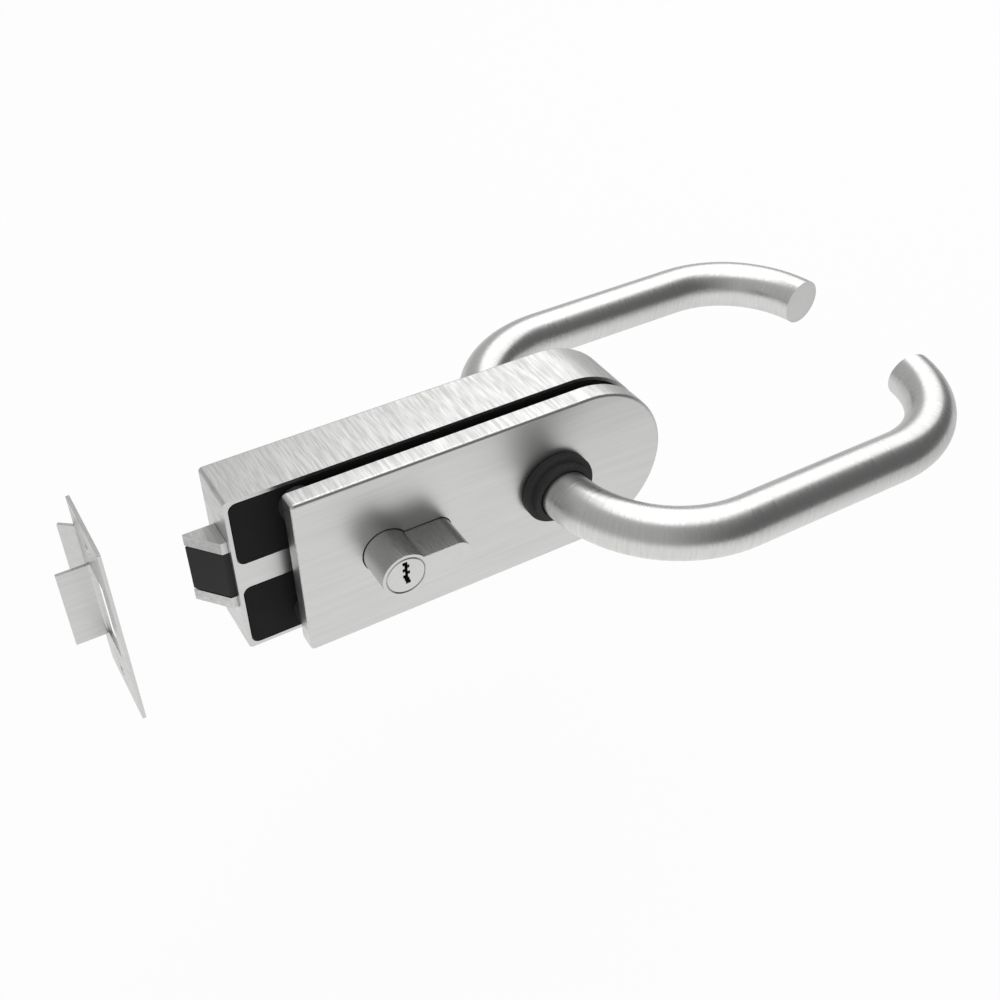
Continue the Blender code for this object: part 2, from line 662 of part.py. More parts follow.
def make_clamp_screws(finish):
    """Screws that pull the cover onto the glass, and a sleeve on each in its hole."""
    screw = countersunk_profile(CLAMP_SCREW_RADIUS, CLAMP_HEAD_RADIUS,
                                CLAMP_HEAD_DEPTH, CASE_DEPTH,
                                COVER_BACK_Y - CLAMP_THREAD_DEPTH)
    inner = CLAMP_SCREW_RADIUS + FIT
    low = COVER_BACK_Y + FIT
    sleeve = [(low, inner), (low, SLEEVE_RADIUS), (-FIT, SLEEVE_RADIUS), (-FIT, inner)]
    for i, (x, z) in enumerate(CLAMP_SCREW_PLACES, 1):
        turned(f"clamp_screw_{i}", screw, "Y", x, z, finish.zinc, steps=16)
        turned(f"glass_sleeve_{i}", sleeve, "Y", x, z, finish.black, steps=16)


def latch_outline(x_end, front_y, rear_y):
    """Plan view of the bolt: flat at the rear, bevelled at the front."""
    shoulder_x = LEFT_X - LATCH_SHOULDER
    slope = (shoulder_x - LATCH_TIP_X) / (LATCH_REAR_Y - LATCH_FRONT_Y)
    start_x = LATCH_TIP_X + slope * (LATCH_REAR_Y - rear_y)
    return [(start_x, rear_y), (shoulder_x, front_y), (x_end, front_y), (x_end, rear_y)]


def make_latch(finish, carrier):
    """Sprung bolt with a black insert in its bevel and a tail to the follower."""
    half = LATCH_HEIGHT / 2
    bolt = prism("latch_bolt", latch_outline(LATCH_BACK_X, LATCH_FRONT_Y, LATCH_REAR_Y),
                 -half, half, finish.steel, axis="Z", carrier=carrier)
    tail_top = TAIL_BOTTOM + TAIL_HEIGHT
    hook_x = LEVER_X + ARM_WIDTH / 2 + RUN + 0.1
    tail = box("latch_tail", (LATCH_BACK_X - 2, hook_x + TAIL_HOOK_WIDTH),
               (TAIL_FRONT_Y, TAIL_FRONT_Y + TAIL_THICKNESS), (TAIL_BOTTOM, tail_top))
    hook = box("latch_hook", (hook_x, hook_x + TAIL_HOOK_WIDTH),
               (TAIL_FRONT_Y + 0.5, LATCH_ARM_REAR_Y),
               (TAIL_BOTTOM, TAIL_BOTTOM + TAIL_HOOK_HEIGHT))
    add(bolt, tail, hook)
    insert_half = LATCH_INSERT_HEIGHT / 2
    insert_end = LATCH_TIP_X + LATCH_INSERT_LENGTH
    cut(bolt, box("insert_slot", (LATCH_TIP_X - 1, insert_end + FIT),
                  (LATCH_FRONT_Y - 1, LATCH_REAR_Y + 1),
                  (-insert_half - FIT, insert_half + FIT)))
    cut(bolt, pin("spring_pocket", "X", LATCH_MID_Y, 0, LATCH_SPRING_RADIUS + SPRING_POCKET_GAP,
                  LATCH_BACK_X - SPRING_POCKET_DEPTH, LATCH_BACK_X + 1, steps=24))
    prism("latch_insert", latch_outline(insert_end, LATCH_FRONT_Y, LATCH_REAR_Y),
          -insert_half, insert_half, finish.black, axis="Z", carrier=carrier)


def make_latch_guide(finish):
    """Plastic channel round the bolt, open to the glass side."""
    inner = LATCH_HEIGHT / 2 + RUN
    outer = inner + GUIDE_WALL
    left = LEFT_X + CASE_WALL + FIT
    right = left + GUIDE_LENGTH
    guide = box("latch_guide", (left, right),
                (CASE_GLASS_WALL + FIT, CAVITY_REAR_Y - FIT), (-outer, outer),
                finish.acetal)
    cut(guide, box("guide_channel", (left - 1, right + 1),
                   (CASE_GLASS_WALL - 1, LATCH_REAR_Y + RUN), (-inner, inner)))
    coil("latch_spring", "X", LATCH_MID_Y, 0, LATCH_SPRING_RADIUS, LATCH_SPRING_WIRE,
         LATCH_BACK_X - SPRING_POCKET_DEPTH + FIT, SPRING_POST_X - FIT,
         LATCH_SPRING_TURNS, finish.zinc)


def make_cylinder(finish, front_carrier, rear_carrier):
    """Double cylinder: one body, a plug at each end and the cam between them."""
    front_y = CAM_Y - CYLINDER_FRONT_LENGTH
    rear_y = CAM_Y + CYLINDER_REAR_LENGTH
    body = prism("cylinder_body", cylinder_outline(), front_y, rear_y, finish.nickel,
                 round_low=FACE_CHAMFER, round_high=FACE_CHAMFER, round_steps=1)
    half = CAM_WIDTH / 2 + RUN
    cut(body, box("cam_slot", (CYLINDER_X - CYLINDER_ROUND_RADIUS - 1,
                               CYLINDER_X + CAM_LOBE_RADIUS + 2 * RUN),
                  (CAM_Y - half, CAM_Y + half),
                  (-CYLINDER_ROUND_RADIUS - 1, CYLINDER_ROUND_RADIUS + 1)))
    bore = PLUG_RADIUS + RUN
    cut(body, pin("front_bore", "Y", CYLINDER_X, 0, bore, front_y - 1, CAM_Y,
                  steps=32))
    cut(body, pin("rear_bore", "Y", CYLINDER_X, 0, bore, CAM_Y, rear_y + 1, steps=32))
    cut(body, pin("fixing_thread", "Z", CYLINDER_X + FIXING_SCREW_FROM_AXIS, CAM_Y,
                  FIXING_SCREW_RADIUS + FIT, -CYLINDER_LEG_WIDTH,
                  CYLINDER_LEG_WIDTH, steps=24))
    make_plug("front_key_plug", front_y + PLUG_SINK, CAM_Y - half, finish,
              front_carrier)
    make_plug("rear_key_plug", rear_y - PLUG_SINK, CAM_Y + half, finish, rear_carrier)
    make_cam(finish, front_carrier)
    screw_x = CYLINDER_X + FIXING_SCREW_FROM_AXIS
    screw = countersunk_profile(FIXING_SCREW_RADIUS, FIXING_HEAD_RADIUS,
                                FIXING_HEAD_DEPTH, -HALF_HEIGHT,
                                FIXING_SCREW_PAST_AXIS)
    turned("cylinder_fixing_screw", screw, "Z", screw_x, CAM_Y, finish.zinc, steps=24)


def keyway_outline():
    """Zigzag slot that stands upright across the plug."""
    half = KEYWAY_WIDTH / 2
    low = -KEYWAY_HEIGHT / 2
    step = KEYWAY_HEIGHT / 4
    lean = half * 0.9
    shifts = [(-lean, low), (lean, low + step), (-lean, low + 2 * step),
              (lean, low + 3 * step), (-lean, low + 4 * step)]
    left = [(CYLINDER_X + s - half, z) for s, z in shifts]
    right = [(CYLINDER_X + s + half, z) for s, z in reversed(shifts)]
    return left + right


def make_plug(name, face_y, inner_y, finish, carrier):
    way = 1 if inner_y > face_y else -1
    end_y = inner_y - way * RUN
    profile = [(face_y, 0),
               (face_y, PLUG_RADIUS - FACE_CHAMFER),
               (face_y + way * FACE_CHAMFER, PLUG_RADIUS),
               (end_y, PLUG_RADIUS),
               (end_y, 0)]
    plug = turned(name, profile, "Y", CYLINDER_X, 0, finish.nickel, carrier, steps=32)
    deep_y = face_y + way * KEYWAY_DEPTH
    slot = prism(name + "_keyway", keyway_outline(), min(face_y - way, deep_y),
                 max(face_y - way, deep_y))
    cut(plug, slot)


def make_cam(finish, carrier):
    """Cam: a hub with one lobe that reaches past the body."""
    half = CAM_LOBE_WIDTH / 2
    root = math.degrees(math.asin(half / CAM_HUB_RADIUS))
    tip = math.degrees(math.asin(half / CAM_LOBE_RADIUS))
    outline = arc(0, 0, CAM_LOBE_RADIUS, -tip, tip, 6)
    outline += arc(0, 0, CAM_HUB_RADIUS, root, 360 - root, 28)
    turn = math.radians(CAM_REST_ANGLE)
    placed = [(CYLINDER_X + x * math.cos(turn) - z * math.sin(turn),
               x * math.sin(turn) + z * math.cos(turn)) for x, z in outline]
    prism("cylinder_cam", placed, CAM_Y - CAM_WIDTH / 2, CAM_Y + CAM_WIDTH / 2,
          finish.zinc, carrier=carrier)


def make_locking_slide(finish, carrier):
    """Flat slide under the cylinder: a notch for the cam and a nose to the follower."""
    top = SLIDE_TOOTH_TOP - SLIDE_NOTCH_DEPTH
    bottom = top - SLIDE_HEIGHT
    reach = math.sqrt((CAM_LOBE_RADIUS + RUN) ** 2 - SLIDE_TOOTH_TOP ** 2)
    left_tooth = CYLINDER_X - reach - SLIDE_TRAVEL - RUN
    right_tooth = CYLINDER_X + reach + RUN
    tooth = SLIDE_TOOTH_WIDTH
    swing = math.radians(LEVER_TURN)
    arm_x = LEVER_X - ARM_REACH * math.sin(swing) - ARM_WIDTH / 2
    nose = arm_x - SLIDE_NOSE_GAP - SLIDE_TRAVEL
    left = SLIDE_PIN_PLACES[0] - SLIDE_TRAVEL - 3 * SLIDE_PIN_RADIUS
    outline = [(left, bottom), (nose, bottom), (nose, top),
               (right_tooth + tooth, top), (right_tooth + tooth, SLIDE_TOOTH_TOP),
               (right_tooth, SLIDE_TOOTH_TOP), (right_tooth, top),
               (left_tooth, top), (left_tooth, SLIDE_TOOTH_TOP),
               (left_tooth - tooth, SLIDE_TOOTH_TOP), (left_tooth - tooth, top),
               (left, top)]
    slide = prism("locking_slide", outline, SLIDE_FRONT_Y,
                  SLIDE_FRONT_Y + SLIDE_THICKNESS, finish.zinc, carrier=carrier)
    gap = SLIDE_PIN_RADIUS + RUN
    for i, x in enumerate(SLIDE_PIN_PLACES):
        slot = rounded_box(x - gap - SLIDE_TRAVEL, x + gap, slide_mid() - gap,
                           slide_mid() + gap, gap * 0.999, 6)
        cut(slide, prism(f"slide_slot_{i}", slot, SLIDE_FRONT_Y - 1,
                         SLIDE_FRONT_Y + SLIDE_THICKNESS + 1))
    shoulder = SLIDE_FRONT_Y + SLIDE_THICKNESS + RUN
    wide = SLIDE_PIN_RADIUS + SLIDE_PIN_SHOULDER
    end = CASE_DEPTH - SLIDE_PIN_COVERED
    profile = [(SLIDE_PIN_FRONT_Y, 0), (SLIDE_PIN_FRONT_Y, SLIDE_PIN_RADIUS),
               (shoulder, SLIDE_PIN_RADIUS), (shoulder, wide),
               (CAVITY_REAR_Y - FIT, wide), (CAVITY_REAR_Y - FIT, SLIDE_PIN_RADIUS),
               (end, SLIDE_PIN_RADIUS), (end, 0)]
    for i, x in enumerate(SLIDE_PIN_PLACES, 1):
        turned(f"slide_guide_pin_{i}", profile, "Y", x, slide_mid(), finish.zinc,
               steps=12)


def make_follower(finish, carrier):
    """Hub on two journals, with an arm for the latch and one for the spring."""
    profile = [(JOURNAL_FRONT_Y, 0),
               (JOURNAL_FRONT_Y, JOURNAL_RADIUS),
               (FOLLOWER_FRONT_Y, JOURNAL_RADIUS),
               (FOLLOWER_FRONT_Y, FOLLOWER_RADIUS),
               (FOLLOWER_REAR_Y, FOLLOWER_RADIUS),
               (FOLLOWER_REAR_Y, JOURNAL_RADIUS),
               (JOURNAL_REAR_Y, JOURNAL_RADIUS),
               (JOURNAL_REAR_Y, 0)]
    hub = turned("follower", profile, "Y", LEVER_X, 0, finish.zinc, carrier, steps=24)
    half = ARM_WIDTH / 2
    root = FOLLOWER_RADIUS - ARM_ROOT_DEPTH
    add(hub, box("latch_arm", (LEVER_X - half, LEVER_X + half),
                 (ARM_FRONT_Y, LATCH_ARM_REAR_Y), (root, ARM_REACH)))
    add(hub, box("spring_arm", (LEVER_X - half, LEVER_X + half),
                 (ARM_FRONT_Y, SPRING_ARM_REAR_Y), (-ARM_REACH, -root)))
    side = SQUARE_HOLE_SIDE / 2
    cut(hub, box("follower_square", (LEVER_X - side, LEVER_X + side),
                 (JOURNAL_FRONT_Y - 1, JOURNAL_REAR_Y + 1), (-side, side)))


def make_bearings(finish):
    """Acetal bearings in the base plate and at the rear wall."""
    inner = JOURNAL_RADIUS + RUN
    outer = inner + BEARING_WALL
    low = PLATE_FRONT_Y + 0.2
    high = FOLLOWER_FRONT_Y - RUN
    turned("front_bearing", [(low, inner), (low, outer), (high, outer), (high, inner)],
           "Y", LEVER_X, 0, finish.acetal)
    low = FOLLOWER_REAR_Y + RUN
    high = CAVITY_REAR_Y - FIT
    turned("rear_bearing", [(low, inner), (low, REAR_BEARING_FLANGE),
                            (high, REAR_BEARING_FLANGE), (high, inner)],
           "Y", LEVER_X, 0, finish.acetal)
    coil("return_spring", "X", RETURN_SPRING_Y, RETURN_SPRING_HEIGHT,
         RETURN_SPRING_RADIUS, RETURN_SPRING_WIRE,
         RETURN_POST_X + RETURN_POST_WIDTH + FIT, LEVER_X - ARM_WIDTH / 2 - FIT,
         RETURN_SPRING_TURNS, finish.zinc)


def lever_path(side, bend_steps):
    """Centre line of a lever from its neck to its returned end.

    side is -1 in front of the cover and +1 behind the case.
    """
    base = COVER_FACE_Y if side < 0 else CASE_DEPTH
    depth = FRONT_NECK_DEPTH if side < 0 else REAR_NECK_DEPTH
    grip = base + side * LEVER_PROJECTION
    radius = NECK_BEND_RADIUS
    bend_y = grip - side * radius
    points = [(LEVER_X, base - side * depth, (0, side))]
    for i in range(bend_steps + 1):
        angle = math.pi / 2 * i / bend_steps
        points.append((LEVER_X + radius * (1 - math.cos(angle)),
                       bend_y + side * radius * math.sin(angle),
                       (math.sin(angle), side * math.cos(angle))))
    radius = END_BEND_RADIUS
    bend_y = grip - side * radius
    end_angle = math.acos(1 - LEVER_RETURN / radius) if LEVER_RETURN < radius else math.pi / 2
    for i in range(bend_steps + 1):
        angle = end_angle * i / bend_steps
        points.append((LEVER_FAR_X - radius * (1 - math.sin(angle)),
                       bend_y + side * radius * math.cos(angle),
                       (math.cos(angle), -side * math.sin(angle))))
    return points


def make_lever(name, side, finish, carrier, steps=18):
    """Bent tube, open at its neck and closed by a flat end."""
    bm = bmesh.new()

    def ring(x, y, way, radius, shift=0.0):
        across = Vector((way[1], -way[0], 0))
        centre = Vector((x + way[0] * shift, y + way[1] * shift, 0))
        return [bm.verts.new((centre + radius * (math.cos(t) * across
                + math.sin(t) * Vector((0, 0, 1)))) * MM)
                for t in (2 * math.pi * k / steps for k in range(steps))]

    outside = lever_path(side, 8)
    rings = [ring(x, y, way, TUBE_RADIUS) for x, y, way in outside[:-1]]
    x, y, way = outside[-1]
    rings.append(ring(x, y, way, TUBE_RADIUS, -LEVER_END_CHAMFER))
    rings.append(ring(x, y, way, TUBE_RADIUS - LEVER_END_CHAMFER))
    bm.faces.new(rings[-1])
    inside = lever_path(side, 8)
    bores = [ring(x, y, way, TUBE_BORE_RADIUS) for x, y, way in inside[:-1]]
    x, y, way = inside[-1]
    bores.append(ring(x, y, way, TUBE_BORE_RADIUS, -TUBE_END_THICKNESS))
    bm.faces.new(bores[-1])
    for chain in (rings, bores, [rings[0], bores[0]]):
        for a, b in zip(chain, chain[1:]):
            for k in range(steps):
                n = (k + 1) % steps
                bm.faces.new((a[k], a[n], b[n], b[k]))
    mesh = bpy.data.meshes.new(name)
    bm.to_mesh(mesh)
    bm.free()
    lever = finish_object(mesh, name, finish.tube, carrier)
    base = COVER_FACE_Y if side < 0 else CASE_DEPTH
    grub_y = base + side * GRUB_FROM_FACE
    spot = -TUBE_RADIUS + GRUB_SUNK
    half = SPINDLE_SIDE / 2
    hole = pin(name + "_grub_hole", "Z", LEVER_X, grub_y, GRUB_RADIUS + FIT,
               -TUBE_RADIUS - 1, -SQUARE_HOLE_SIDE / 2 + 0.5, steps=14)
    cut(lever, hole)
    side_name = "front" if side < 0 else "rear"
    depth = FRONT_NECK_DEPTH if side < 0 else REAR_NECK_DEPTH
    inner_y = base - side * (depth - 0.2)
    outer_y = base + side * (GRUB_FROM_FACE + GRUB_RADIUS + FIT + SOCKET_PAST_GRUB)
    socket = pin(side_name + "_lever_socket", "Y", LEVER_X, 0, SOCKET_RADIUS,
                 min(inner_y, outer_y), max(inner_y, outer_y), finish.zinc, carrier,
                 steps=20)
    hole_half = SQUARE_HOLE_SIDE / 2
    cut(socket, box(side_name + "_socket_square", (LEVER_X - hole_half, LEVER_X + hole_half),
                    (min(inner_y, outer_y) - 1, max(inner_y, outer_y) + 1),
                    (-hole_half, hole_half)))
    cut(socket, hole)
    recess = GRUB_RADIUS * SOCKET_SHARE
    floor = spot + GRUB_RADIUS
    profile = [(floor, 0), (floor, recess), (spot, recess), (spot, GRUB_RADIUS),
               (-half - FIT, GRUB_RADIUS), (-half - FIT, 0)]
    turned(side_name + "_grub_screw", profile, "Z", LEVER_X, grub_y, finish.zinc,
           carrier, steps=14)


def make_bush(name, side, finish):
    """Black bush round a lever's neck: spigot in the wall, flange and collar."""
    base = COVER_FACE_Y if side < 0 else CASE_DEPTH
    inner_y = COVER_BACK_Y - 2 * FIT if side < 0 else CAVITY_REAR_Y
    seat = base + side * FIT
    flange = seat + side * BUSH_FLANGE_THICKNESS
    collar = flange + side * BUSH_COLLAR_THICKNESS
    profile = [(inner_y, BUSH_BORE_RADIUS), (inner_y, BUSH_SPIGOT_RADIUS),
               (seat, BUSH_SPIGOT_RADIUS), (seat, BUSH_FLANGE_RADIUS),
               (flange - side * 0.4, BUSH_FLANGE_RADIUS),
               (flange, BUSH_FLANGE_RADIUS - 0.4),
               (flange, BUSH_COLLAR_RADIUS), (collar, BUSH_COLLAR_RADIUS),
               (collar, BUSH_BORE_RADIUS)]
    turned(name, profile, "Y", LEVER_X, 0, finish.black, steps=24)


def make_levers(finish, carrier):
    make_lever("front_lever", -1, finish, carrier)
    make_lever("rear_lever", 1, finish, carrier)
    make_bush("front_lever_bush", -1, finish)
    make_bush("rear_lever_bush", 1, finish)
    half = SPINDLE_SIDE / 2
    box("spindle", (LEVER_X - half, LEVER_X + half),
        (COVER_FACE_Y - SPINDLE_PAST_FACE, CASE_DEPTH + SPINDLE_PAST_FACE),
        (-half, half), finish.zinc, carrier)


def make_strike(finish):
    """Strike plate: opening with a bent tongue, flared lip, two screw holes."""
    front_x = STRIKE_BACK_X + STRIKE_THICKNESS
    half_w = STRIKE_WIDTH / 2
    half_h = STRIKE_HEIGHT / 2
    low_y = STRIKE_MID_Y - half_w
    high_y = STRIKE_MID_Y + half_w
    plate = prism("strike_plate", rounded_box(low_y, high_y, -half_h, half_h,
                                              STRIKE_CORNER, 3),
                  STRIKE_BACK_X, front_x, finish.steel, axis="X")
    opening_end = LATCH_REAR_Y + STRIKE_PAST_LATCH
    half_opening = STRIKE_OPENING_HEIGHT / 2
    cut(plate, box("strike_opening", (STRIKE_BACK_X - 1, front_x + 1),
                   (opening_end - STRIKE_OPENING_WIDTH, opening_end),
                   (-half_opening, half_opening)))
    half_tongue = STRIKE_TONGUE_HEIGHT / 2
    tongue = box("strike_tongue", (STRIKE_BACK_X - STRIKE_TONGUE_LENGTH, front_x),
                 (opening_end - 0.2, opening_end - 0.2 + STRIKE_THICKNESS),
                 (-half_tongue, half_tongue))
    lean = math.radians(STRIKE_LIP_ANGLE)
    step_x = STRIKE_LIP_LENGTH * math.sin(lean)
    step_y = STRIKE_LIP_LENGTH * math.cos(lean)
    skin_x = STRIKE_THICKNESS * math.cos(lean)
    skin_y = STRIKE_THICKNESS * math.sin(lean)
    inner = high_y - STRIKE_THICKNESS * math.tan(lean / 2)
    root = high_y - 2 * STRIKE_THICKNESS
    lip_outline = [(front_x, root), (front_x, high_y),
                   (front_x - step_x, high_y + step_y),
                   (front_x - step_x - skin_x, high_y + step_y - skin_y),
                   (STRIKE_BACK_X, inner), (STRIKE_BACK_X, root)]
    half_lip = STRIKE_LIP_HEIGHT / 2
    lip = prism("strike_lip", lip_outline, -half_lip, half_lip, axis="Z")
    add(plate, tongue, lip)
    for i, z in enumerate((-STRIKE_SCREW_SPACING / 2, STRIKE_SCREW_SPACING / 2)):
        profile = [(STRIKE_BACK_X - 1, 0), (STRIKE_BACK_X - 1, STRIKE_HOLE_RADIUS),
                   (STRIKE_BACK_X + 0.2, STRIKE_HOLE_RADIUS),
                   (front_x, STRIKE_SINK_RADIUS), (front_x + 1, STRIKE_SINK_RADIUS),
                   (front_x + 1, 0)]
        cut(plate, turned(f"strike_screw_hole_{i}", profile, "X", STRIKE_MID_Y, z,
                          steps=24))


def main():
    clear_scene()
    finish = Finish()
    latch = joint_empty("latch_carrier", LEFT_X, LATCH_MID_Y, 0)
    lever = joint_empty("lever_axis", LEVER_X, 0, 0)
    front_plug = joint_empty("front_plug_axis", CYLINDER_X, CAM_Y, 0)
    rear_plug = joint_empty("rear_plug_axis", CYLINDER_X, CAM_Y, 0)
    slide = joint_empty("slide_carrier", CYLINDER_X, SLIDE_FRONT_Y, slide_mid())
    make_rear_case(finish)
    make_base_plate(finish)
    make_case_pads(finish)
    make_cover(finish)
    make_clamp_screws(finish)
    make_latch(finish, latch)
    make_latch_guide(finish)
    make_cylinder(finish, front_plug, rear_plug)
    make_locking_slide(finish, slide)
    make_follower(finish, lever)
    make_bearings(finish)
    make_levers(finish, lever)
    make_strike(finish)


main()
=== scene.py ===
"""Finished pieces, materials and studio for a lever lock on a glass door.

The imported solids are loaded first.  Each operator then makes one piece, or one
group of like pieces, over them.  Sizes are in metres, +X runs from the latch to
the round end, +Y away from the glass into the case, +Z up.
"""

import json
import math

import bmesh
import bpy
from bpy.props import FloatProperty, FloatVectorProperty, IntProperty, PointerProperty
from bpy.types import Operator, Panel, PropertyGroup
from mathutils import Matrix, Vector


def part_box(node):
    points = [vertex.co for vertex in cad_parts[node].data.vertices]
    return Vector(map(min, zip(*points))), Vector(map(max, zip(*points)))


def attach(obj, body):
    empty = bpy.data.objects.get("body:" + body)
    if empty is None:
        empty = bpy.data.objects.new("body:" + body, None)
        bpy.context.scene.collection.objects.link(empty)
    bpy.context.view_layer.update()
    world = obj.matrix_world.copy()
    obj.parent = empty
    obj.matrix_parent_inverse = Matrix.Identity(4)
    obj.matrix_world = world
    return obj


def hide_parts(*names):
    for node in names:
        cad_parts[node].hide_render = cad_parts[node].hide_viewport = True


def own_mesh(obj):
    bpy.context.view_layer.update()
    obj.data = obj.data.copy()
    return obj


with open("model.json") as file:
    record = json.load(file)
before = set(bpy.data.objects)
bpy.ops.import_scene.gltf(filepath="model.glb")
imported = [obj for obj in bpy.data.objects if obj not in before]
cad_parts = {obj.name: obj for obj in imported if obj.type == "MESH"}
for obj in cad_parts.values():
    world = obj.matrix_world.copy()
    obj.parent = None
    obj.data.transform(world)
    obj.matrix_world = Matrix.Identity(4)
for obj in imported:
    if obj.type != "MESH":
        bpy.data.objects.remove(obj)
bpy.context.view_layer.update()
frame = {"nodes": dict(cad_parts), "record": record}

bl_info = {
    "name": "Glass door lock",
    "version": (1, 0, 0),
    "blender": (4, 5, 0),
    "location": "3D View > Sidebar > Glass Lock",
    "description": "Builds the finished pieces of a lever lock for a glass door",
    "category": "Object",
}


def low(node):
    return Vector(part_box(node)[0])


def high(node):
    return Vector(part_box(node)[1])


def middle(node):
    return (low(node) + high(node)) / 2


def inner_outer(node, side):
    """Y of the faces of a piece in front (-1) or behind (1): towards the lock, away."""
    faces = (low(node).y, high(node).y)
    return faces[::-1] if side < 0 else faces


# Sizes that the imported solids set
HALF_HEIGHT = high("rear_case").z
LEFT_X = low("rear_case").x
ROUND_X = high("rear_case").x - HALF_HEIGHT
CASE_DEPTH = high("rear_case").y
COVER_LEFT_X = low("front_cover").x
COVER_FACE_Y = low("front_cover").y
COVER_BACK_Y = high("front_cover").y
BODY_ROUND = high("cylinder_body").z
BODY_X = low("cylinder_body").x + BODY_ROUND
BODY_LEG_X = high("cylinder_body").x
PLUG_RADIUS = high("front_key_plug").z
LEVER_X = middle("spindle").x
TUBE_RADIUS = high("front_lever").z
CLAMP_SCREWS = [f"clamp_screw_{i}" for i in range(1, 5)]
PLATE_SCREWS = [f"base_plate_screw_{i}" for i in range(1, 5)]

# Sizes inside the pieces
FIT = 0.0003                 # gap between pieces that touch
OUT = 0.002                  # how far a cutter runs past a face
HOLE_GAP = 0.00028
RIM = 0.0014
COVER_RIM = 0.002
CASE_WALL = 0.0032
CASE_REAR_WALL = 0.0022
CASE_GLASS_WALL = 0.0024
CAVITY_CORNER = 0.002
PLATE_LEFT_X = -0.048
PLATE_LEDGE_Y = 0.0038
PAD_POCKET = 0.0012
POCKET_OVERLAP = 0.001       # how far a pocket runs into the plate's seat
PAD_CORNER = 0.003
PAD_ARC_STEPS = 48
BRIDGE_HALF = 0.0051
BOSS_MARGIN = 0.003
BOSS_CORNER = 0.003
LEVER_BOSS_RADIUS = 0.0165
COVER_SKIN = 0.0016
COVER_END_WALL = 0.0015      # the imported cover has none; the photograph shows one
CLAMP_POST_RADIUS = 0.0052
FIXING_HOLE_RADIUS = 0.0027
FIXING_HOLE_DEPTH = 0.005
BODY_LEG_HALF = 0.005
CAM_Y = 0.012
CAM_SLOT_HALF = 0.005
CAM_SLOT_REACH = 0.016
BUSH_SPIGOT_RADIUS = 0.0117
BUSH_NECK_RADIUS = 0.0114
BUSH_STEP = 0.003            # thickness of the bush's flange, and of its collar

# Countersunk screws: head radius, head depth, shank radius, socket radius
CLAMP_SCREW = (0.0048, 0.0026, 0.0024, 0.0023)
PLATE_SCREW = (0.0029, 0.0014, 0.0015, 0.0014)
FIXING_SCREW = (0.0046, 0.0025, 0.0024, 0.0022)
PLATE_SCREW_LENGTH = 0.009
SCREW_SIDES = 48
CLAMP_SHANK_RADIUS = CLAMP_SCREW[2]

# Key plugs; a keyway shift is a share of half the keyway's width
BORE_GAP = 0.00008
KEY_CHAMFER = 0.0003
PLUG_SINK = 0.00005
KEYWAY_BOTTOM = -0.0036
KEYWAY_DEPTH = 0.02
KEYWAY_SHIFTS = (0.6, 0.2, -0.3, 0.6, -0.3, 0.5, -0.2)

# Latch bolt, with the tail and hook that the follower's arm draws
LATCH_SHOULDER = 0.0022
LATCH_BODY_BACK = -0.0615
INSERT_END_X = -0.0722
WINDOW_GAP = 0.0005
TAIL_Y = (0.004, 0.006)
TAIL_Z = (0.0092, 0.0142)
HOOK_WIDTH = 0.0022
HOOK_Y = (0.005, 0.011)
HOOK_Z = (0.0092, 0.0124)
SPRING_POCKET_RADIUS = 0.0042
SPRING_POCKET_DEPTH = 0.008

# Lever tubes
BEND_STEPS = 24
LEVER_END_WALL = 0.002
GRUB_HOLE_RADIUS = 0.0019
GRUB_HOLE_TOP = -0.004
PATH_END = 0.01              # the path runs on past the return, and is then trimmed

# Springs
COIL_STEPS = 40              # steps in a turn
WIRE_SIDES = 12

# Strike plate
STRIKE_THICKNESS = 0.0012
STRIKE_Y = 0.008225          # middle of its width
STRIKE_HALF_WIDTH = 0.01625
STRIKE_CORNER = 0.0003
OPENING_WIDTH = 0.0136
OPENING_HALF = 0.0155
TONGUE_Y = 0.0142
TONGUE_HALF = 0.0152
TONGUE_ROOT = 0.0005
TONGUE_STEP = 0.0002         # the opening ends just past the tongue's face
LIP_LENGTH = 0.0065
LIP_LEAN = math.radians(52)
LIP_ROOT = 0.002
LIP_BREAK = (0.0004, 0.0003, 0.0002)     # edge at its bend: below, behind and above
LIP_HALF = 0.024
STRIKE_SCREW_Z = 0.027
STRIKE_HOLE_RADIUS = 0.0023
STRIKE_SINK_RADIUS = 0.0042
STRIKE_SINK_DEPTH = 0.001

# Studio
CAMERA_PLACE = (-0.15943, -0.3139, 0.29211)
LAMP_TARGET = Vector((0.04, 0, 0))
FLOOR_HALF = 4
FLOOR_Y = 3.1
# Painted pool of light: metal sees the floor glow brightest round this point, fading
# between these distances
PAINTED_POOL_X, PAINTED_POOL_Y = -0.08, -0.08
PAINTED_POOL_START, PAINTED_POOL_END = 0.24, 0.54
FLOOR_COLOUR = (0.86, 0.86, 0.86, 1)
FLOOR_GLOW = 0.92            # share of the floor that glows; the rest takes shadow
ROOM_LEFT_WAY = (-0.8, 0.6)  # across the room, to the camera's left and back
ROOM_START, ROOM_END = -0.7, 0.05
WHITE = (1, 1, 1, 1)


def metres(name, about, default):
    return FloatProperty(name=name, description=about, default=default, unit="LENGTH")


def degrees(name, about, angle):
    return FloatProperty(name=name, description=about, subtype="ANGLE",
                         default=math.radians(angle))


def share(name, about, default):
    return FloatProperty(name=name, description=about, subtype="FACTOR",
                         default=default, min=0, max=1)


def number(name, about, default):
    return FloatProperty(name=name, description=about, default=default)


def count(name, about, default, least, most):
    return IntProperty(name=name, description=about, default=default, min=least, max=most)


def rgb(name, about, default):
    return FloatVectorProperty(name=name, description=about, subtype="COLOR", size=3,
                               default=default)


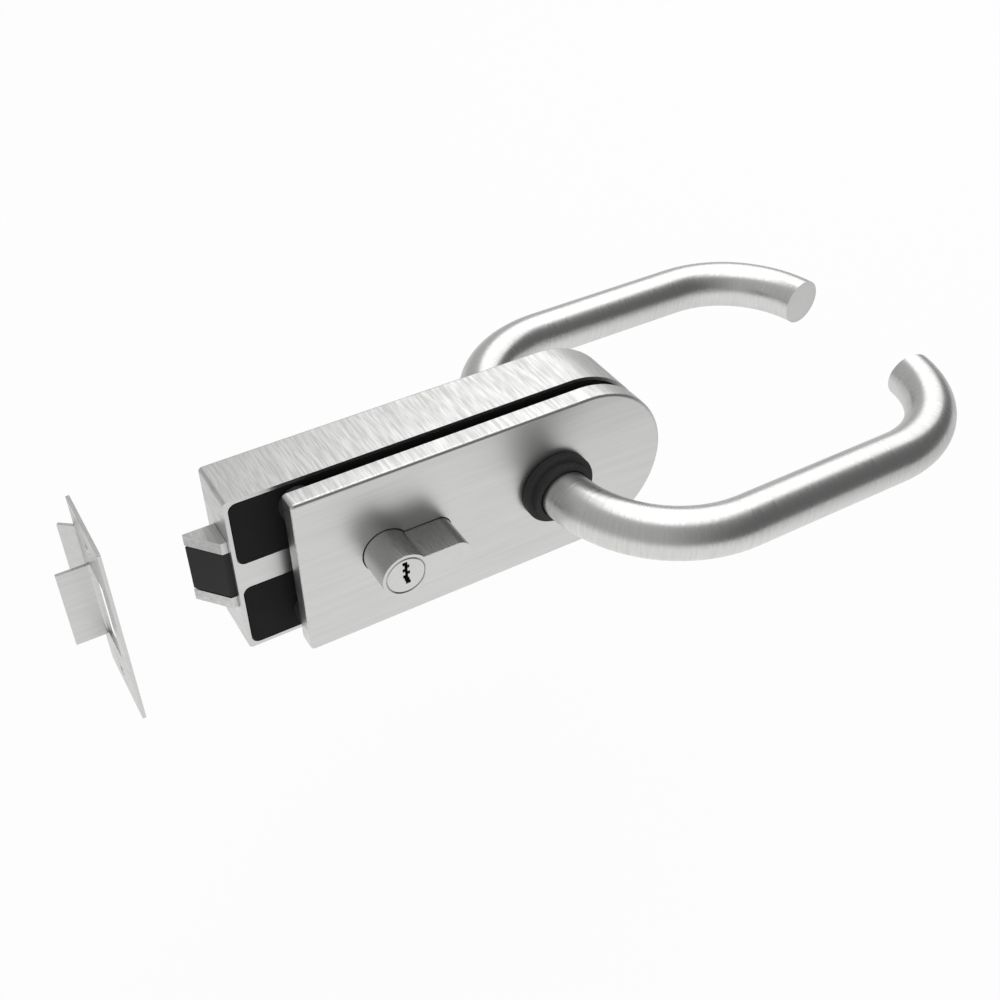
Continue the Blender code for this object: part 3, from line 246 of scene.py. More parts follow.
class LockSizes(PropertyGroup):
    """Sizes that finish the solids."""

    arc_steps: count("Arc Steps", "Faces round the case's end", 96, 16, 256)
    case_edge: metres("Case Edge", "Rounding of the rear edge", 0.001)
    case_corner: metres("Case Corner", "Rounding of the latch end's corners", 0.0015)
    cover_corner: metres("Cover Corner", "Rounding of the cover's corners", 0.0015)
    cover_edge: metres("Cover Edge", "Rounding of the cover's face edge", 0.0012)
    broken_edge: metres("Broken Edge", "Rounding of an edge broken with a file", 0.00015)
    bolt_edge: metres("Bolt Edge", "Rounding of the latch bolt", 0.00035)
    insert_edge: metres("Insert Edge", "Rounding of the bolt's insert", 0.0004)
    lever_edge: metres("Lever Edge", "Rounding of the lever ends", 0.0005)
    strike_edge: metres("Strike Edge", "Rounding of the strike plate", 0.00012)
    pad_edge: metres("Pad Edge", "Rounding of the glass pads", 0.00025)
    bush_edge: metres("Bush Edge", "Rounding of the lever bushes", 0.0003)
    key_face_chamfer: metres("Cylinder Chamfer", "Chamfer of the cylinder's ends", 0.0001)
    keyway_height: metres("Keyway Height", "Height of the keyway", 0.0094)
    keyway_width: metres("Keyway Width", "Width of the keyway", 0.0018)
    tube_wall: metres("Tube Wall", "Wall of the lever tubes", 0.0016)
    neck_bend: metres("Neck Bend", "Radius of a lever's first bend, at its axis", 0.0455)
    end_bend: metres("End Bend", "Radius of a lever's return, at its axis", 0.042)
    lever_return: metres("Lever Return", "How far a lever's end comes back", 0.036)
    tube_sides: count("Tube Sides", "Faces round a lever tube", 72, 12, 128)
    coil_wire: metres("Coil Wire", "Radius of the spring wire", 0.00045)
    strike_bend: metres("Strike Bend", "Inside radius of the strike's bends", 0.0008)


class LockFinish(PropertyGroup):
    """Colours and surfaces of the lock."""

    steel: rgb("Steel", "Colour of the brushed case", (0.685, 0.685, 0.678))
    tube: rgb("Tube", "Colour of the lever tubes", (0.67, 0.67, 0.662))
    nickel: rgb("Nickel", "Colour of the cylinder", (0.64, 0.637, 0.626))
    zinc: rgb("Zinc", "Colour of the plated parts", (0.56, 0.57, 0.58))
    rubber: rgb("Rubber", "Colour of the glass pads", (0.0135, 0.0135, 0.0135))
    plastic: rgb("Plastic", "Colour of bush and insert", (0.043, 0.043, 0.043))
    acetal: rgb("Acetal", "Colour of the bearings", (0.78, 0.78, 0.76))
    steel_roughness: share("Steel Roughness", "Mean roughness of the brushed steel", 0.36)
    tube_roughness: share("Tube Roughness", "Mean roughness of the lever tubes", 0.3)
    black_specular: share("Black Specular", "Shine of rubber and plastic", 0.12)
    scratch_depth: metres("Scratch Depth", "Depth of the brushing", 0.000035)


class LockStudio(PropertyGroup):
    """Camera, lamps and floor."""

    focal_length: number("Focal Length", "Camera lens in mm", 47.1)
    azimuth: degrees("Azimuth", "Camera direction from +Y", 29.69)
    elevation: degrees("Elevation", "Camera tilt below level", 39.84)
    roll: degrees("Roll", "Camera roll", -1.08)
    floor_height: metres("Floor Height", "Height of the floor", -0.16)
    # The floor's painted pool of light, as metal sees it in reflections
    pool_middle: number("Pool Middle", "How bright metal sees the floor below it", 1.03)
    pool_edge: number("Pool Edge", "How bright metal sees the floor further away", 0.72)
    softbox_azimuth: degrees("Softbox Azimuth", "Softbox direction from +Y to +X", 54)
    softbox_elevation: degrees("Softbox Elevation", "How high the softbox stands", 45)
    softbox_width: metres("Softbox Width", "Width of the softbox", 1.75)
    softbox_height: metres("Softbox Height", "Height of the softbox", 1.6)
    softbox_radiance: number("Softbox", "Brightness of the softbox", 1.25)
    overhead_azimuth: degrees("Overhead Azimuth", "Overhead direction, as above", 60)
    overhead_elevation: degrees("Overhead Elevation", "How high it stands", 84)
    overhead_width: metres("Overhead Width", "Width of the overhead lamp", 1.35)
    overhead_height: metres("Overhead Height", "Its other width", 1.35)
    overhead_radiance: number("Overhead", "Brightness of the overhead lamp", 1.3)
    lamp_distance: metres("Lamp Distance", "Distance of both lamps", 1.6)
    room: number("Room", "How bright metal sees the room's right", 0.14)
    room_left: number("Room Left", "How bright metal sees its left and back", 0.5)
    ambient: number("Ambient", "Plain light from all round", 0.55)


# Node trees


class Wire:
    """A socket in an expression: arithmetic on it adds Math nodes."""

    def __init__(self, sheet, socket):
        self.sheet = sheet
        self.socket = socket

    def math(self, operation, *values):
        inputs = dict(enumerate(values))
        return self.sheet.node("ShaderNodeMath", {"operation": operation}, inputs)

    def __add__(self, other):
        return self.math("ADD", self, other)

    def __sub__(self, other):
        return self.math("SUBTRACT", self, other)

    def __mul__(self, other):
        return self.math("MULTIPLY", self, other)

    def __abs__(self):
        return self.math("ABSOLUTE", self)


class Sheet:
    """Adds nodes to one node tree."""

    def __init__(self, tree):
        self.tree = tree

    def node(self, kind, settings=None, inputs=None, output=0):
        """One node: its settings come first, then the values or links of its sockets."""
        node = self.tree.nodes.new(kind)
        for name, value in (settings or {}).items():
            setattr(node, name, value)
        for key, value in (inputs or {}).items():
            several = value if isinstance(value, list) else [value]
            for one in several:
                if isinstance(one, Wire):
                    self.tree.links.new(one.socket, node.inputs[key])
                else:
                    node.inputs[key].default_value = one
        return Wire(self, node.outputs[output])

    def noise(self, place, scale, detail=2.0, roughness=0.5):
        return self.node("ShaderNodeTexNoise", {}, {
            "Vector": place, "Scale": scale, "Detail": detail, "Roughness": roughness})

    def brush(self, place, stretch, *scales):
        """Noise drawn out into lines; several scales are mixed in equal parts."""
        drawn = self.node("ShaderNodeMapping", {}, {"Vector": place, "Scale": stretch})
        if len(scales) == 1:
            return self.noise(drawn, scales[0])
        return self.noise(drawn, scales[0]) * 0.5 + self.noise(drawn, scales[1]) * 0.5

    def axis(self, vector, index):
        """X, Y or Z of a vector, by its index."""
        return self.node("ShaderNodeSeparateXYZ", {}, {0: vector}, index)

    def ramp(self, value, from_low, from_high, to_low, to_high):
        return self.node("ShaderNodeMapRange", {}, {
            "Value": value, "From Min": from_low, "From Max": from_high,
            "To Min": to_low, "To Max": to_high})

    def between(self, mask, first, second):
        """Number between two others."""
        return first + (second - first) * mask

    def rays(self):
        """Masks for the rays that the camera sees by, and for those of reflections."""
        camera, through, glossy = (
            self.node("ShaderNodeLightPath", output=f"Is {kind} Ray")
            for kind in ("Camera", "Transmission", "Glossy"))
        return camera + through, glossy


class Finish(Sheet):
    """One surface: a node sheet round a Principled shader."""

    def __init__(self, name, metallic, colour, specular=0.5):
        surface = bpy.data.materials.new(name + "_finish")
        surface.use_nodes = True
        surface.diffuse_color = (*colour, 1)
        super().__init__(surface.node_tree)
        self.colour = tuple(colour)
        self.shader = self.tree.nodes["Principled BSDF"]
        self.shader.inputs["Base Color"].default_value = (*colour, 1)
        self.shader.inputs["Metallic"].default_value = metallic
        self.shader.inputs["Specular IOR Level"].default_value = specular

    def place(self):
        return self.node("ShaderNodeTexCoord", output="Object")

    def apply(self, name, value):
        self.tree.links.new(value.socket, self.shader.inputs[name])

    def shade(self, factor):
        return (*(min(1.0, part * factor) for part in self.colour), 1)

    def tone(self, mask, dark, light):
        """Colour that goes from one shade of the finish's own to another."""
        self.apply("Base Color", self.node(
            "ShaderNodeMix", {"data_type": "RGBA"},
            {0: mask, 6: self.shade(dark), 7: self.shade(light)}, 2))

    def roughen(self, mask, first, last, start=0.3, end=0.7):
        self.apply("Roughness", self.ramp(mask, start, end, first, last))

    def relief(self, height, depth):
        self.apply("Normal", self.node("ShaderNodeBump", {}, {
            "Strength": 1.0, "Distance": depth, "Height": height}))

    def speckle(self, mottle, tones, roughness, grain, depth):
        """Colour and roughness follow the mottle's noise, relief the grain's."""
        place = self.place()
        mask = self.noise(place, *mottle)
        self.tone(mask, *tones)
        self.roughen(mask, *roughness)
        self.relief(mask if grain == mottle else self.noise(place, *grain), depth)


def brushed_steel(colour, roughness, depth):
    """Steel brushed along X on its faces and across its edges; its edges also hold a
    painted shade.
    """
    finish = Finish("brushed_steel", 1.0, colour)
    place = finish.place()
    facing = finish.node("ShaderNodeTexCoord", output="Normal")
    face = finish.ramp(abs(finish.axis(facing, 1)), 0.6, 0.8, 0, 1)
    edge = finish.ramp(finish.brush(place, (1, 0.08, 1), 1700, 950), 0.38, 0.62, 0, 1)
    fine = finish.brush(place, (0.03, 1, 1), 1800)
    wide = finish.brush(place, (0.05, 1, 1), 500)
    flat = finish.ramp(fine * 0.5 + wide * 0.5, 0.3, 0.7, 0.45, 0.8)
    scratches_and_shade = finish.between(face, edge, flat)
    # The tone is the brushing's streaks and a painted shade: surfaces that do not face
    # along Y come out a few percent darker on average.
    finish.tone(scratches_and_shade, 0.8, 1.03)
    finish.roughen(scratches_and_shade, roughness + 0.07, roughness - 0.04, 0, 1)
    finish.relief(finish.between(face, edge * 0.6, flat * 0.3), depth)


def brushed_tube(colour, roughness, depth):
    """Tube brushed round its axis; the attribute holds the distance along it."""
    finish = Finish("tube_steel", 1.0, colour)
    along = finish.node("ShaderNodeAttribute", {"attribute_name": "along"}, output="Fac")
    upward = finish.axis(finish.place(), 2)
    rings = finish.node("ShaderNodeCombineXYZ", {}, {0: along, 1: upward * 0.06})
    lines = finish.noise(rings, 700) * 0.5 + finish.noise(rings, 2000) * 0.5
    brush = finish.ramp(lines, 0.36, 0.64, 0, 1)
    finish.tone(brush, 0.94, 1.04)
    finish.roughen(brush, roughness + 0.05, roughness - 0.05, 0, 1)
    finish.relief(brush, depth * 0.4)


def satin_nickel(colour):
    """Nickel plate with the faint lines of polishing along the cylinder."""
    finish = Finish("nickel", 1.0, colour)
    place = finish.place()
    brush = finish.brush(place, (1, 0.06, 1), 1900)
    finish.tone(finish.noise(place, 240, 3, 0.55), 0.95, 1.04)
    finish.roughen(brush, 0.25, 0.33)
    finish.relief(brush, 0.000006)


def zinc_plate(colour):
    """Zinc-plated steel with the mottle of the bath."""
    finish = Finish("zinc_steel", 1.0, colour)
    finish.speckle((350, 4, 0.6), (0.88, 1.08), (0.32, 0.46), (2800, 2, 0.5), 0.000012)


def black_rubber(colour, specular):
    """Matte rubber with a fine moulded grain."""
    finish = Finish("black_rubber", 0.0, colour, specular)
    finish.speckle((160, 3, 0.6), (0.85, 1.25), (0.55, 0.68), (3800, 2, 0.5), 0.00002)


def black_plastic(colour, specular):
    """Satin plastic with spark-eroded grain."""
    grain = (2400, 3, 0.55)
    finish = Finish("black_plastic", 0.0, colour, specular)
    finish.speckle(grain, (0.85, 1.2), (0.52, 0.62), grain, 0.00002)


def white_acetal(colour):
    """Moulded acetal, a little waxy."""
    cloud = (300, 3, 0.5)
    finish = Finish("white_acetal", 0.0, colour)
    finish.speckle(cloud, (0.96, 1.02), (0.36, 0.44), cloud, 0.00003)


# Mesh tools


def arc(cx, cz, radius, start, end, steps):
    points = []
    for i in range(steps + 1):
        angle = math.radians(start + (end - start) * i / steps)
        points.append((cx + radius * math.cos(angle), cz + radius * math.sin(angle)))
    return points


def at(axis, along, u, v):
    """A point given along an axis and in the plane across it."""
    if axis == "X":
        return Vector((along, u, v))
    if axis == "Y":
        return Vector((u, along, v))
    return Vector((u, v, along))


def link(name, bm):
    """Turn a bmesh into an object of the scene."""
    bmesh.ops.recalc_face_normals(bm, faces=bm.faces)
    mesh = bpy.data.meshes.new(name)
    bm.to_mesh(mesh)
    bm.free()
    piece = bpy.data.objects.new(name, mesh)
    bpy.context.scene.collection.objects.link(piece)
    return piece


def prism(name, outline, start, end, axis="Y", round_start=0.0, round_end=0.0, steps=4):
    """An outline pushed along an axis, with the edges of either end rounded."""
    bm = bmesh.new()
    first = [bm.verts.new(at(axis, start, u, v)) for u, v in outline]
    last = [bm.verts.new(at(axis, end, u, v)) for u, v in outline]
    caps = (bm.faces.new(first), bm.faces.new(last))
    for i in range(len(outline)):
        j = (i + 1) % len(outline)
        bm.faces.new((first[i], first[j], last[j], last[i]))
    bmesh.ops.recalc_face_normals(bm, faces=bm.faces)
    for cap, radius in zip(caps, (round_start, round_end)):
        if radius:
            bmesh.ops.bevel(bm, geom=list(cap.edges), offset=radius, segments=steps,
                            profile=0.5, affect="EDGES")
    return link(name, bm)


def block(name, x, y, z):
    outline = [(x[0], z[0]), (x[1], z[0]), (x[1], z[1]), (x[0], z[1])]
    return prism(name, outline, y[0], y[1])


def turned(name, profile, axis, cu, cv, steps=96):
    """A profile of (along, radius) points turned round an axis."""
    bm = bmesh.new()
    rings = []
    for along, radius in profile:
        if radius == 0:
            rings.append([bm.verts.new(at(axis, along, cu, cv))])
            continue
        rings.append([bm.verts.new(at(axis, along, u, v))
                      for u, v in arc(cu, cv, radius, 0, 360 - 360 / steps, steps - 1)])
    pairs = list(zip(rings, rings[1:]))
    if profile[0][1]:
        pairs.append((rings[-1], rings[0]))
    for a, b in pairs:
        for i in range(steps):
            j = (i + 1) % steps
            corners = [a[i % len(a)], b[i % len(b)], b[j % len(b)], a[j % len(a)]]
            bm.faces.new(list(dict.fromkeys(corners)))
    return link(name, bm)


def rod(name, axis, cu, cv, radius, start, end, steps=64):
    return turned(name, [(start, 0), (start, radius), (end, radius), (end, 0)],
                  axis, cu, cv, steps)


def sunk_hole(name, axis, cu, cv, face, end, head, depth, shank):
    """Cutter for a countersunk hole that starts at a face."""
    way = 1 if end > face else -1
    return turned(name, [
        (face - way * OUT, 0), (face - way * OUT, head), (face, head),
        (face + way * depth, shank), (end, shank), (end, 0)],
        axis, cu, cv, SCREW_SIDES)


def combine(piece, operation, tools):
    """Add a Boolean for each tool; settle() applies them."""
    for tool in tools:
        modifier = piece.modifiers.new(tool.name, "BOOLEAN")
        modifier.object = tool
        modifier.operation = operation
        modifier.solver = "EXACT"


def cut(piece, *tools):
    combine(piece, "DIFFERENCE", tools)


def add(piece, *tools):
    combine(piece, "UNION", tools)


def bake_modifiers(piece):
    """Replace the mesh by what the modifiers make of it."""
    tools = [m.object for m in piece.modifiers if m.type == "BOOLEAN"]
    depsgraph = bpy.context.evaluated_depsgraph_get()
    depsgraph.update()
    mesh = bpy.data.meshes.new_from_object(piece.evaluated_get(depsgraph),
                                           depsgraph=depsgraph)
    piece.modifiers.clear()
    piece.data = mesh
    mesh.name = piece.name
    for tool in tools:
        bpy.data.objects.remove(tool, do_unlink=True)


def settle(piece, edge=0.0, angle=32, edge_angle=40):
    """Apply the modifiers, break the sharp edges and even out the shading."""
    merge = 0.000002
    bake_modifiers(piece)
    bm = bmesh.new()
    bm.from_mesh(piece.data)
    bmesh.ops.remove_doubles(bm, verts=bm.verts, dist=merge)
    bmesh.ops.dissolve_degenerate(bm, edges=bm.edges, dist=merge)
    bm.to_mesh(piece.data)
    bm.free()
    if edge:
        bevel = piece.modifiers.new("broken_edge", "BEVEL")
        bevel.width = edge
        bevel.segments = 2
        bevel.limit_method = "ANGLE"
        bevel.angle_limit = math.radians(edge_angle)
        bake_modifiers(piece)
    piece.data.shade_smooth()
    piece.data.set_sharp_from_angle(angle=math.radians(angle))
    weighted = piece.modifiers.new("even_shading", "WEIGHTED_NORMAL")
    weighted.keep_sharp = True
    bake_modifiers(piece)


def material(slot):
    found = bpy.data.materials.get(slot + "_finish")
    if not found:
        raise RuntimeError(f"make the finishes first: {slot} is missing")
    return found


def place_piece(piece, body, slot, *nodes):
    """Give a finished piece its surface, the body it rides on and what it stands for."""
    piece.data.materials.clear()
    piece.data.materials.append(material(slot))
    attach(piece, body)
    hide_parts(*nodes)


# Outlines and cuts that several pieces share


def latch_end(left_x, top, bottom, corner, steps):
    """The end towards the latch, with its two corners round or sharp."""
    if not corner:
        return [(left_x, top), (left_x, bottom)]
    return (arc(left_x + corner, top - corner, corner, 90, 180, steps)
            + arc(left_x + corner, bottom + corner, corner, 180, 270, steps))


def stadium(left_x, inset, corner, steps):
    """Side view of case and cover: square at the latch end, round at the other."""
    half = HALF_HEIGHT - inset
    return (arc(ROUND_X, 0, half, -90, 90, steps)
            + latch_end(left_x, half, -half, corner, 8))


def pad_shape(left_x, inset, gap, corner):
    """Upper pad: inside the rim and above the bridge."""
    half = HALF_HEIGHT - inset
    bottom = BRIDGE_HALF + gap
    start = math.degrees(math.asin(bottom / half))
    return (arc(ROUND_X, 0, half, start, 90, PAD_ARC_STEPS)
            + latch_end(left_x, half, bottom, corner, 10))


def upper_and_lower(name, outline):
    """Names and outlines of a pair that lies above and below the bridge."""
    return (("upper_" + name, outline), ("lower_" + name, [(x, -z) for x, z in outline]))


def cylinder_shape(gap=0.0):
    """Profile cylinder: a round with a leg towards the levers."""
    radius = BODY_ROUND + gap
    half = BODY_LEG_HALF + gap
    meet = math.degrees(math.asin(half / radius))
    leg_x = BODY_LEG_X - BODY_LEG_HALF
    return (arc(BODY_X, 0, radius, meet, 360 - meet, 84)
            + arc(leg_x, 0, half, -90, 90, 32))


def rounded_box(x0, x1, z0, z1, radius):
    steps = 10
    return (arc(x1 - radius, z1 - radius, radius, 0, 90, steps)
            + arc(x0 + radius, z1 - radius, radius, 90, 180, steps)
            + arc(x0 + radius, z0 + radius, radius, 180, 270, steps)
            + arc(x1 - radius, z0 + radius, radius, 270, 360, steps))


def screw_rods(name, radius, start, end):
    """A rod at each of the clamp screws, for their holes and posts."""
    return [rod(f"{name}_{node}", "Y", middle(node).x, middle(node).z, radius, start, end)
            for node in CLAMP_SCREWS]


def clear_zones(piece, gap, radius, start, end):
    """Cut a pad or tray free of the cylinder, the lever and the clamp screws."""
    margin = BOSS_MARGIN + gap
    half = BODY_ROUND + margin
    zone = rounded_box(BODY_X - half, BODY_LEG_X + margin, -half, half, BOSS_CORNER)
    cut(piece, prism("body_zone", zone, start, end),
        rod("lever_zone", "Y", LEVER_X, 0, LEVER_BOSS_RADIUS + gap, start, end),
        *screw_rods("zone", radius, start, end))


def pass_holes(piece, start, end):
    """Cut the holes that the cylinder and a bush pass."""
    cut(piece, prism("body_hole", cylinder_shape(HOLE_GAP), start, end),
        rod("lever_hole", "Y", LEVER_X, 0, BUSH_SPIGOT_RADIUS + FIT, start, end, 96))


def make_pads(name, shape, radius, edge=0.0):
    """A pair of black pads, clear of screws or posts of a given radius."""
    for node, outline in upper_and_lower(name, shape):
        face, back = low(node).y, high(node).y
        pad = prism(node + "_skin", outline, face, back, round_start=edge)
        clear_zones(pad, FIT, radius + FIT, face - OUT, back + OUT)
        settle(pad)
        place_piece(pad, "lock_body", "black_rubber", node)


# Operators


class LOCK_OT_finishes(Operator):
    """Make the materials and put them on the solids that stay in view or inside"""

    bl_idname = "lock.finishes"
    bl_label = "Finishes"

    def execute(self, context):
        looks = context.scene.lock_finish
        brushed_steel(looks.steel, looks.steel_roughness, looks.scratch_depth)
        brushed_tube(looks.tube, looks.tube_roughness, looks.scratch_depth)
        satin_nickel(looks.nickel)
        zinc_plate(looks.zinc)
        black_rubber(looks.rubber, looks.black_specular)
        black_plastic(looks.plastic, looks.black_specular)
        white_acetal(looks.acetal)
        for part in frame["record"]["subparts"]:
            mesh = frame["nodes"][part["node"]].data
            mesh.materials.clear()
            mesh.materials.append(material(part["material_slot"]))
        return {"FINISHED"}


class LOCK_OT_rear_case(Operator):
    """Make the case shell with its pad pockets, latch window and holes"""

    bl_idname = "lock.rear_case"
    bl_label = "Rear Case"

    def execute(self, context):
        sizes = context.scene.lock_sizes
        steps = sizes.arc_steps
        inner_rear = CASE_DEPTH - CASE_REAR_WALL
        case = prism("case_shell", stadium(LEFT_X, 0, sizes.case_corner, steps), 0,
                     CASE_DEPTH, round_end=sizes.case_edge)
        inside = stadium(LEFT_X + CASE_WALL, CASE_WALL, CAVITY_CORNER, steps)
        cut(case, prism("case_cavity", inside, CASE_GLASS_WALL, inner_rear),
            prism("plate_seat", stadium(PLATE_LEFT_X, RIM, 0, steps), -OUT, PLATE_LEDGE_Y))
        # A pocket is the pad's shape up to the plate, so most of its arc is left out.
        stop = PLATE_LEFT_X + POCKET_OVERLAP
        shape = pad_shape(LEFT_X + RIM, RIM, 0, PAD_CORNER)[PAD_ARC_STEPS - 1:]
        shape = [(min(x, stop), z) for x, z in shape] + [(stop, BRIDGE_HALF)]
        for name, outline in upper_and_lower("pocket", shape):
            cut(case, prism(name, outline, -OUT, PAD_POCKET))
        window = high("latch_bolt").z + WINDOW_GAP
        cut(case, block("latch_window", (LEFT_X - OUT, LEFT_X + CASE_WALL + OUT),
                        (low("latch_bolt").y - FIT, high("latch_bolt").y + FIT),
                        (-window, window)))
        pass_holes(case, inner_rear - OUT, CASE_DEPTH + OUT)
        for node in CLAMP_SCREWS:
            x, z = middle(node).x, middle(node).z
            cut(case, sunk_hole("hole_" + node, "Y", x, z, CASE_DEPTH, -OUT,
                                high(node).z - z + FIT, CLAMP_SCREW[1],
                                CLAMP_SHANK_RADIUS + FIT))
        spot = middle("cylinder_fixing_screw")
        cut(case, sunk_hole("fixing_hole", "Z", spot.x, spot.y, -HALF_HEIGHT,
                            FIXING_HOLE_DEPTH - HALF_HEIGHT,
                            high("cylinder_fixing_screw").x - spot.x + FIT,
                            FIXING_SCREW[1], FIXING_HOLE_RADIUS))
        settle(case, sizes.broken_edge)
        place_piece(case, "lock_body", "brushed_steel", "rear_case")
        return {"FINISHED"}


class LOCK_OT_front_cover(Operator):
    """Make the cover, a shallow tray over the glass, and the pads in it"""

    bl_idname = "lock.front_cover"
    bl_label = "Front Cover"

    def execute(self, context):
        sizes = context.scene.lock_sizes
        cover = prism("cover_shell",
                      stadium(COVER_LEFT_X, 0, sizes.cover_corner, sizes.arc_steps),
                      COVER_FACE_Y, COVER_BACK_Y, round_start=sizes.cover_edge, steps=3)
        floor_y = COVER_FACE_Y + COVER_SKIN
        inner_x = COVER_LEFT_X + COVER_END_WALL
        for name, outline in upper_and_lower("tray", pad_shape(inner_x, COVER_RIM, 0, 0)):
            tray = prism(name, outline, floor_y, COVER_BACK_Y + OUT)
            clear_zones(tray, 0, CLAMP_POST_RADIUS, floor_y - OUT, COVER_BACK_Y + 2 * OUT)
            bake_modifiers(tray)
            cut(cover, tray)
        pass_holes(cover, COVER_FACE_Y - OUT, COVER_BACK_Y + OUT)
        cut(cover, *screw_rods("thread", CLAMP_SHANK_RADIUS + FIT,
                               low(CLAMP_SCREWS[0]).y - FIT, COVER_BACK_Y + OUT))
        settle(cover, sizes.broken_edge)
        place_piece(cover, "lock_body", "brushed_steel", "front_cover")
        make_pads("cover_pad", pad_shape(inner_x + FIT, COVER_RIM + FIT, FIT, 0),
                  CLAMP_POST_RADIUS)
        return {"FINISHED"}


class LOCK_OT_glass_pads(Operator):
    """Make the black pads that lie against the glass"""

    bl_idname = "lock.glass_pads"
    bl_label = "Glass Pads"

    def execute(self, context):
        shape = pad_shape(LEFT_X + RIM + FIT, RIM + FIT, FIT, PAD_CORNER - FIT)
        make_pads("case_pad", shape, CLAMP_SHANK_RADIUS, context.scene.lock_sizes.pad_edge)
        return {"FINISHED"}


class LOCK_OT_cylinder(Operator):
    """Make the profile cylinder's body and its two key plugs"""

    bl_idname = "lock.cylinder"
    bl_label = "Key Cylinder"

    def execute(self, context):
        sizes = context.scene.lock_sizes
        front, back = low("cylinder_body").y, high("cylinder_body").y
        chamfer = sizes.key_face_chamfer
        body = prism("cylinder_barrel", cylinder_shape(), front, back,
                     round_start=chamfer, round_end=chamfer, steps=3)
        cut(body, block("cam_slot", (BODY_X - BODY_ROUND - OUT, BODY_X + CAM_SLOT_REACH),
                        (CAM_Y - CAM_SLOT_HALF, CAM_Y + CAM_SLOT_HALF),
                        (-BODY_ROUND - OUT, BODY_ROUND + OUT)))
        bore = PLUG_RADIUS + BORE_GAP
        wide = bore + KEY_CHAMFER
        for name, end, way in (("front_bore", front, 1), ("rear_bore", back, -1)):
            cut(body, turned(name, [
                (end - way * OUT, 0), (end - way * OUT, wide), (end, wide),
                (end + way * KEY_CHAMFER, bore), (CAM_Y, bore), (CAM_Y, 0)],
                "Y", BODY_X, 0))
        settle(body)
        place_piece(body, "lock_body", "nickel", "cylinder_body")
        self.plug(sizes, "front_key_plug", "front_key", front, high("front_key_plug").y)
        self.plug(sizes, "rear_key_plug", "rear_key", back, low("rear_key_plug").y)
        return {"FINISHED"}

    def plug(self, sizes, node, body, face, end):
        """A plug with a stepped keyway, just inside the body's end."""
        way = 1 if end > face else -1
        face += way * PLUG_SINK
        plug = turned(node + "_turned", [
            (face, 0), (face, PLUG_RADIUS - KEY_CHAMFER),
            (face + way * KEY_CHAMFER, PLUG_RADIUS), (end, PLUG_RADIUS), (end, 0)],
            "Y", BODY_X, 0)
        half = sizes.keyway_width / 2
        step = sizes.keyway_height / len(KEYWAY_SHIFTS)
        left, right = [], []
        for i, shift in enumerate(KEYWAY_SHIFTS):
            for z in (i * step + KEYWAY_BOTTOM, (i + 1) * step + KEYWAY_BOTTOM):
                left.append((BODY_X + (shift - 1) * half, z))
                right.append((BODY_X + (shift + 1) * half, z))
        ends = sorted((face - way * OUT, face + way * KEYWAY_DEPTH))
        cut(plug, prism(node + "_keyway", left + right[::-1], *ends))
        settle(plug)
        place_piece(plug, body, "nickel", node)


class LOCK_OT_bushes(Operator):
    """Make the black bushes that the levers turn in"""

    bl_idname = "lock.bushes"
    bl_label = "Lever Bushes"

    def execute(self, context):
        edge = context.scene.lock_sizes.bush_edge
        soft = edge * 0.3    # where a round passes its corner, at 45 degrees
        bore = TUBE_RADIUS + FIT
        neck = BUSH_NECK_RADIUS
        for node, side in (("front_lever_bush", -1), ("rear_lever_bush", 1)):
            inner, collar = inner_outer(node, side)
            flange = collar - side * BUSH_STEP
            seat = flange - side * BUSH_STEP
            wide = high(node).z
            bush = turned(node + "_turned", [
                (inner, bore), (inner, BUSH_SPIGOT_RADIUS), (seat, BUSH_SPIGOT_RADIUS),
                (seat, wide), (flange - side * edge, wide),
                (flange - side * soft, wide - soft), (flange, wide - edge),
                (flange, neck), (collar - side * edge, neck),
                (collar - side * soft, neck - soft), (collar, neck - edge),
                (collar, bore)], "Y", LEVER_X, 0)
            settle(bush)
            place_piece(bush, "lock_body", "black_plastic", node)
        return {"FINISHED"}


class LOCK_OT_latch(Operator):
    """Make the bevelled latch bolt and its black insert"""

    bl_idname = "lock.latch"
    bl_label = "Latch"

    def execute(self, context):
        sizes = context.scene.lock_sizes
        tip, front, _ = low("latch_bolt")
        end, rear, half = high("latch_bolt")
        shoulder = LEFT_X - LATCH_SHOULDER

        def plan(end_x):
            return [(tip, rear), (shoulder, front), (end_x, front), (end_x, rear)]

        bolt = prism("latch_body", plan(LATCH_BODY_BACK), -half, half, axis="Z")
        add(bolt, block("tail", (LATCH_BODY_BACK - OUT, end), TAIL_Y, TAIL_Z),
            block("hook", (end - HOOK_WIDTH, end), HOOK_Y, HOOK_Z))
        insert_half = high("latch_insert").z
        slot = insert_half + FIT
        cut(bolt, block("insert_slot", (tip - OUT, INSERT_END_X + FIT),
                        (front - OUT, rear + OUT), (-slot, slot)),
            rod("spring_pocket", "X", (front + rear) / 2, 0, SPRING_POCKET_RADIUS,
                LATCH_BODY_BACK - SPRING_POCKET_DEPTH, LATCH_BODY_BACK + OUT))
        settle(bolt, sizes.bolt_edge)
        place_piece(bolt, "latch", "brushed_steel", "latch_bolt")
        insert = prism("latch_runner", plan(INSERT_END_X), -insert_half, insert_half,
                       axis="Z")
        settle(insert, sizes.insert_edge)
        place_piece(insert, "latch", "black_plastic", "latch_insert")
        return {"FINISHED"}


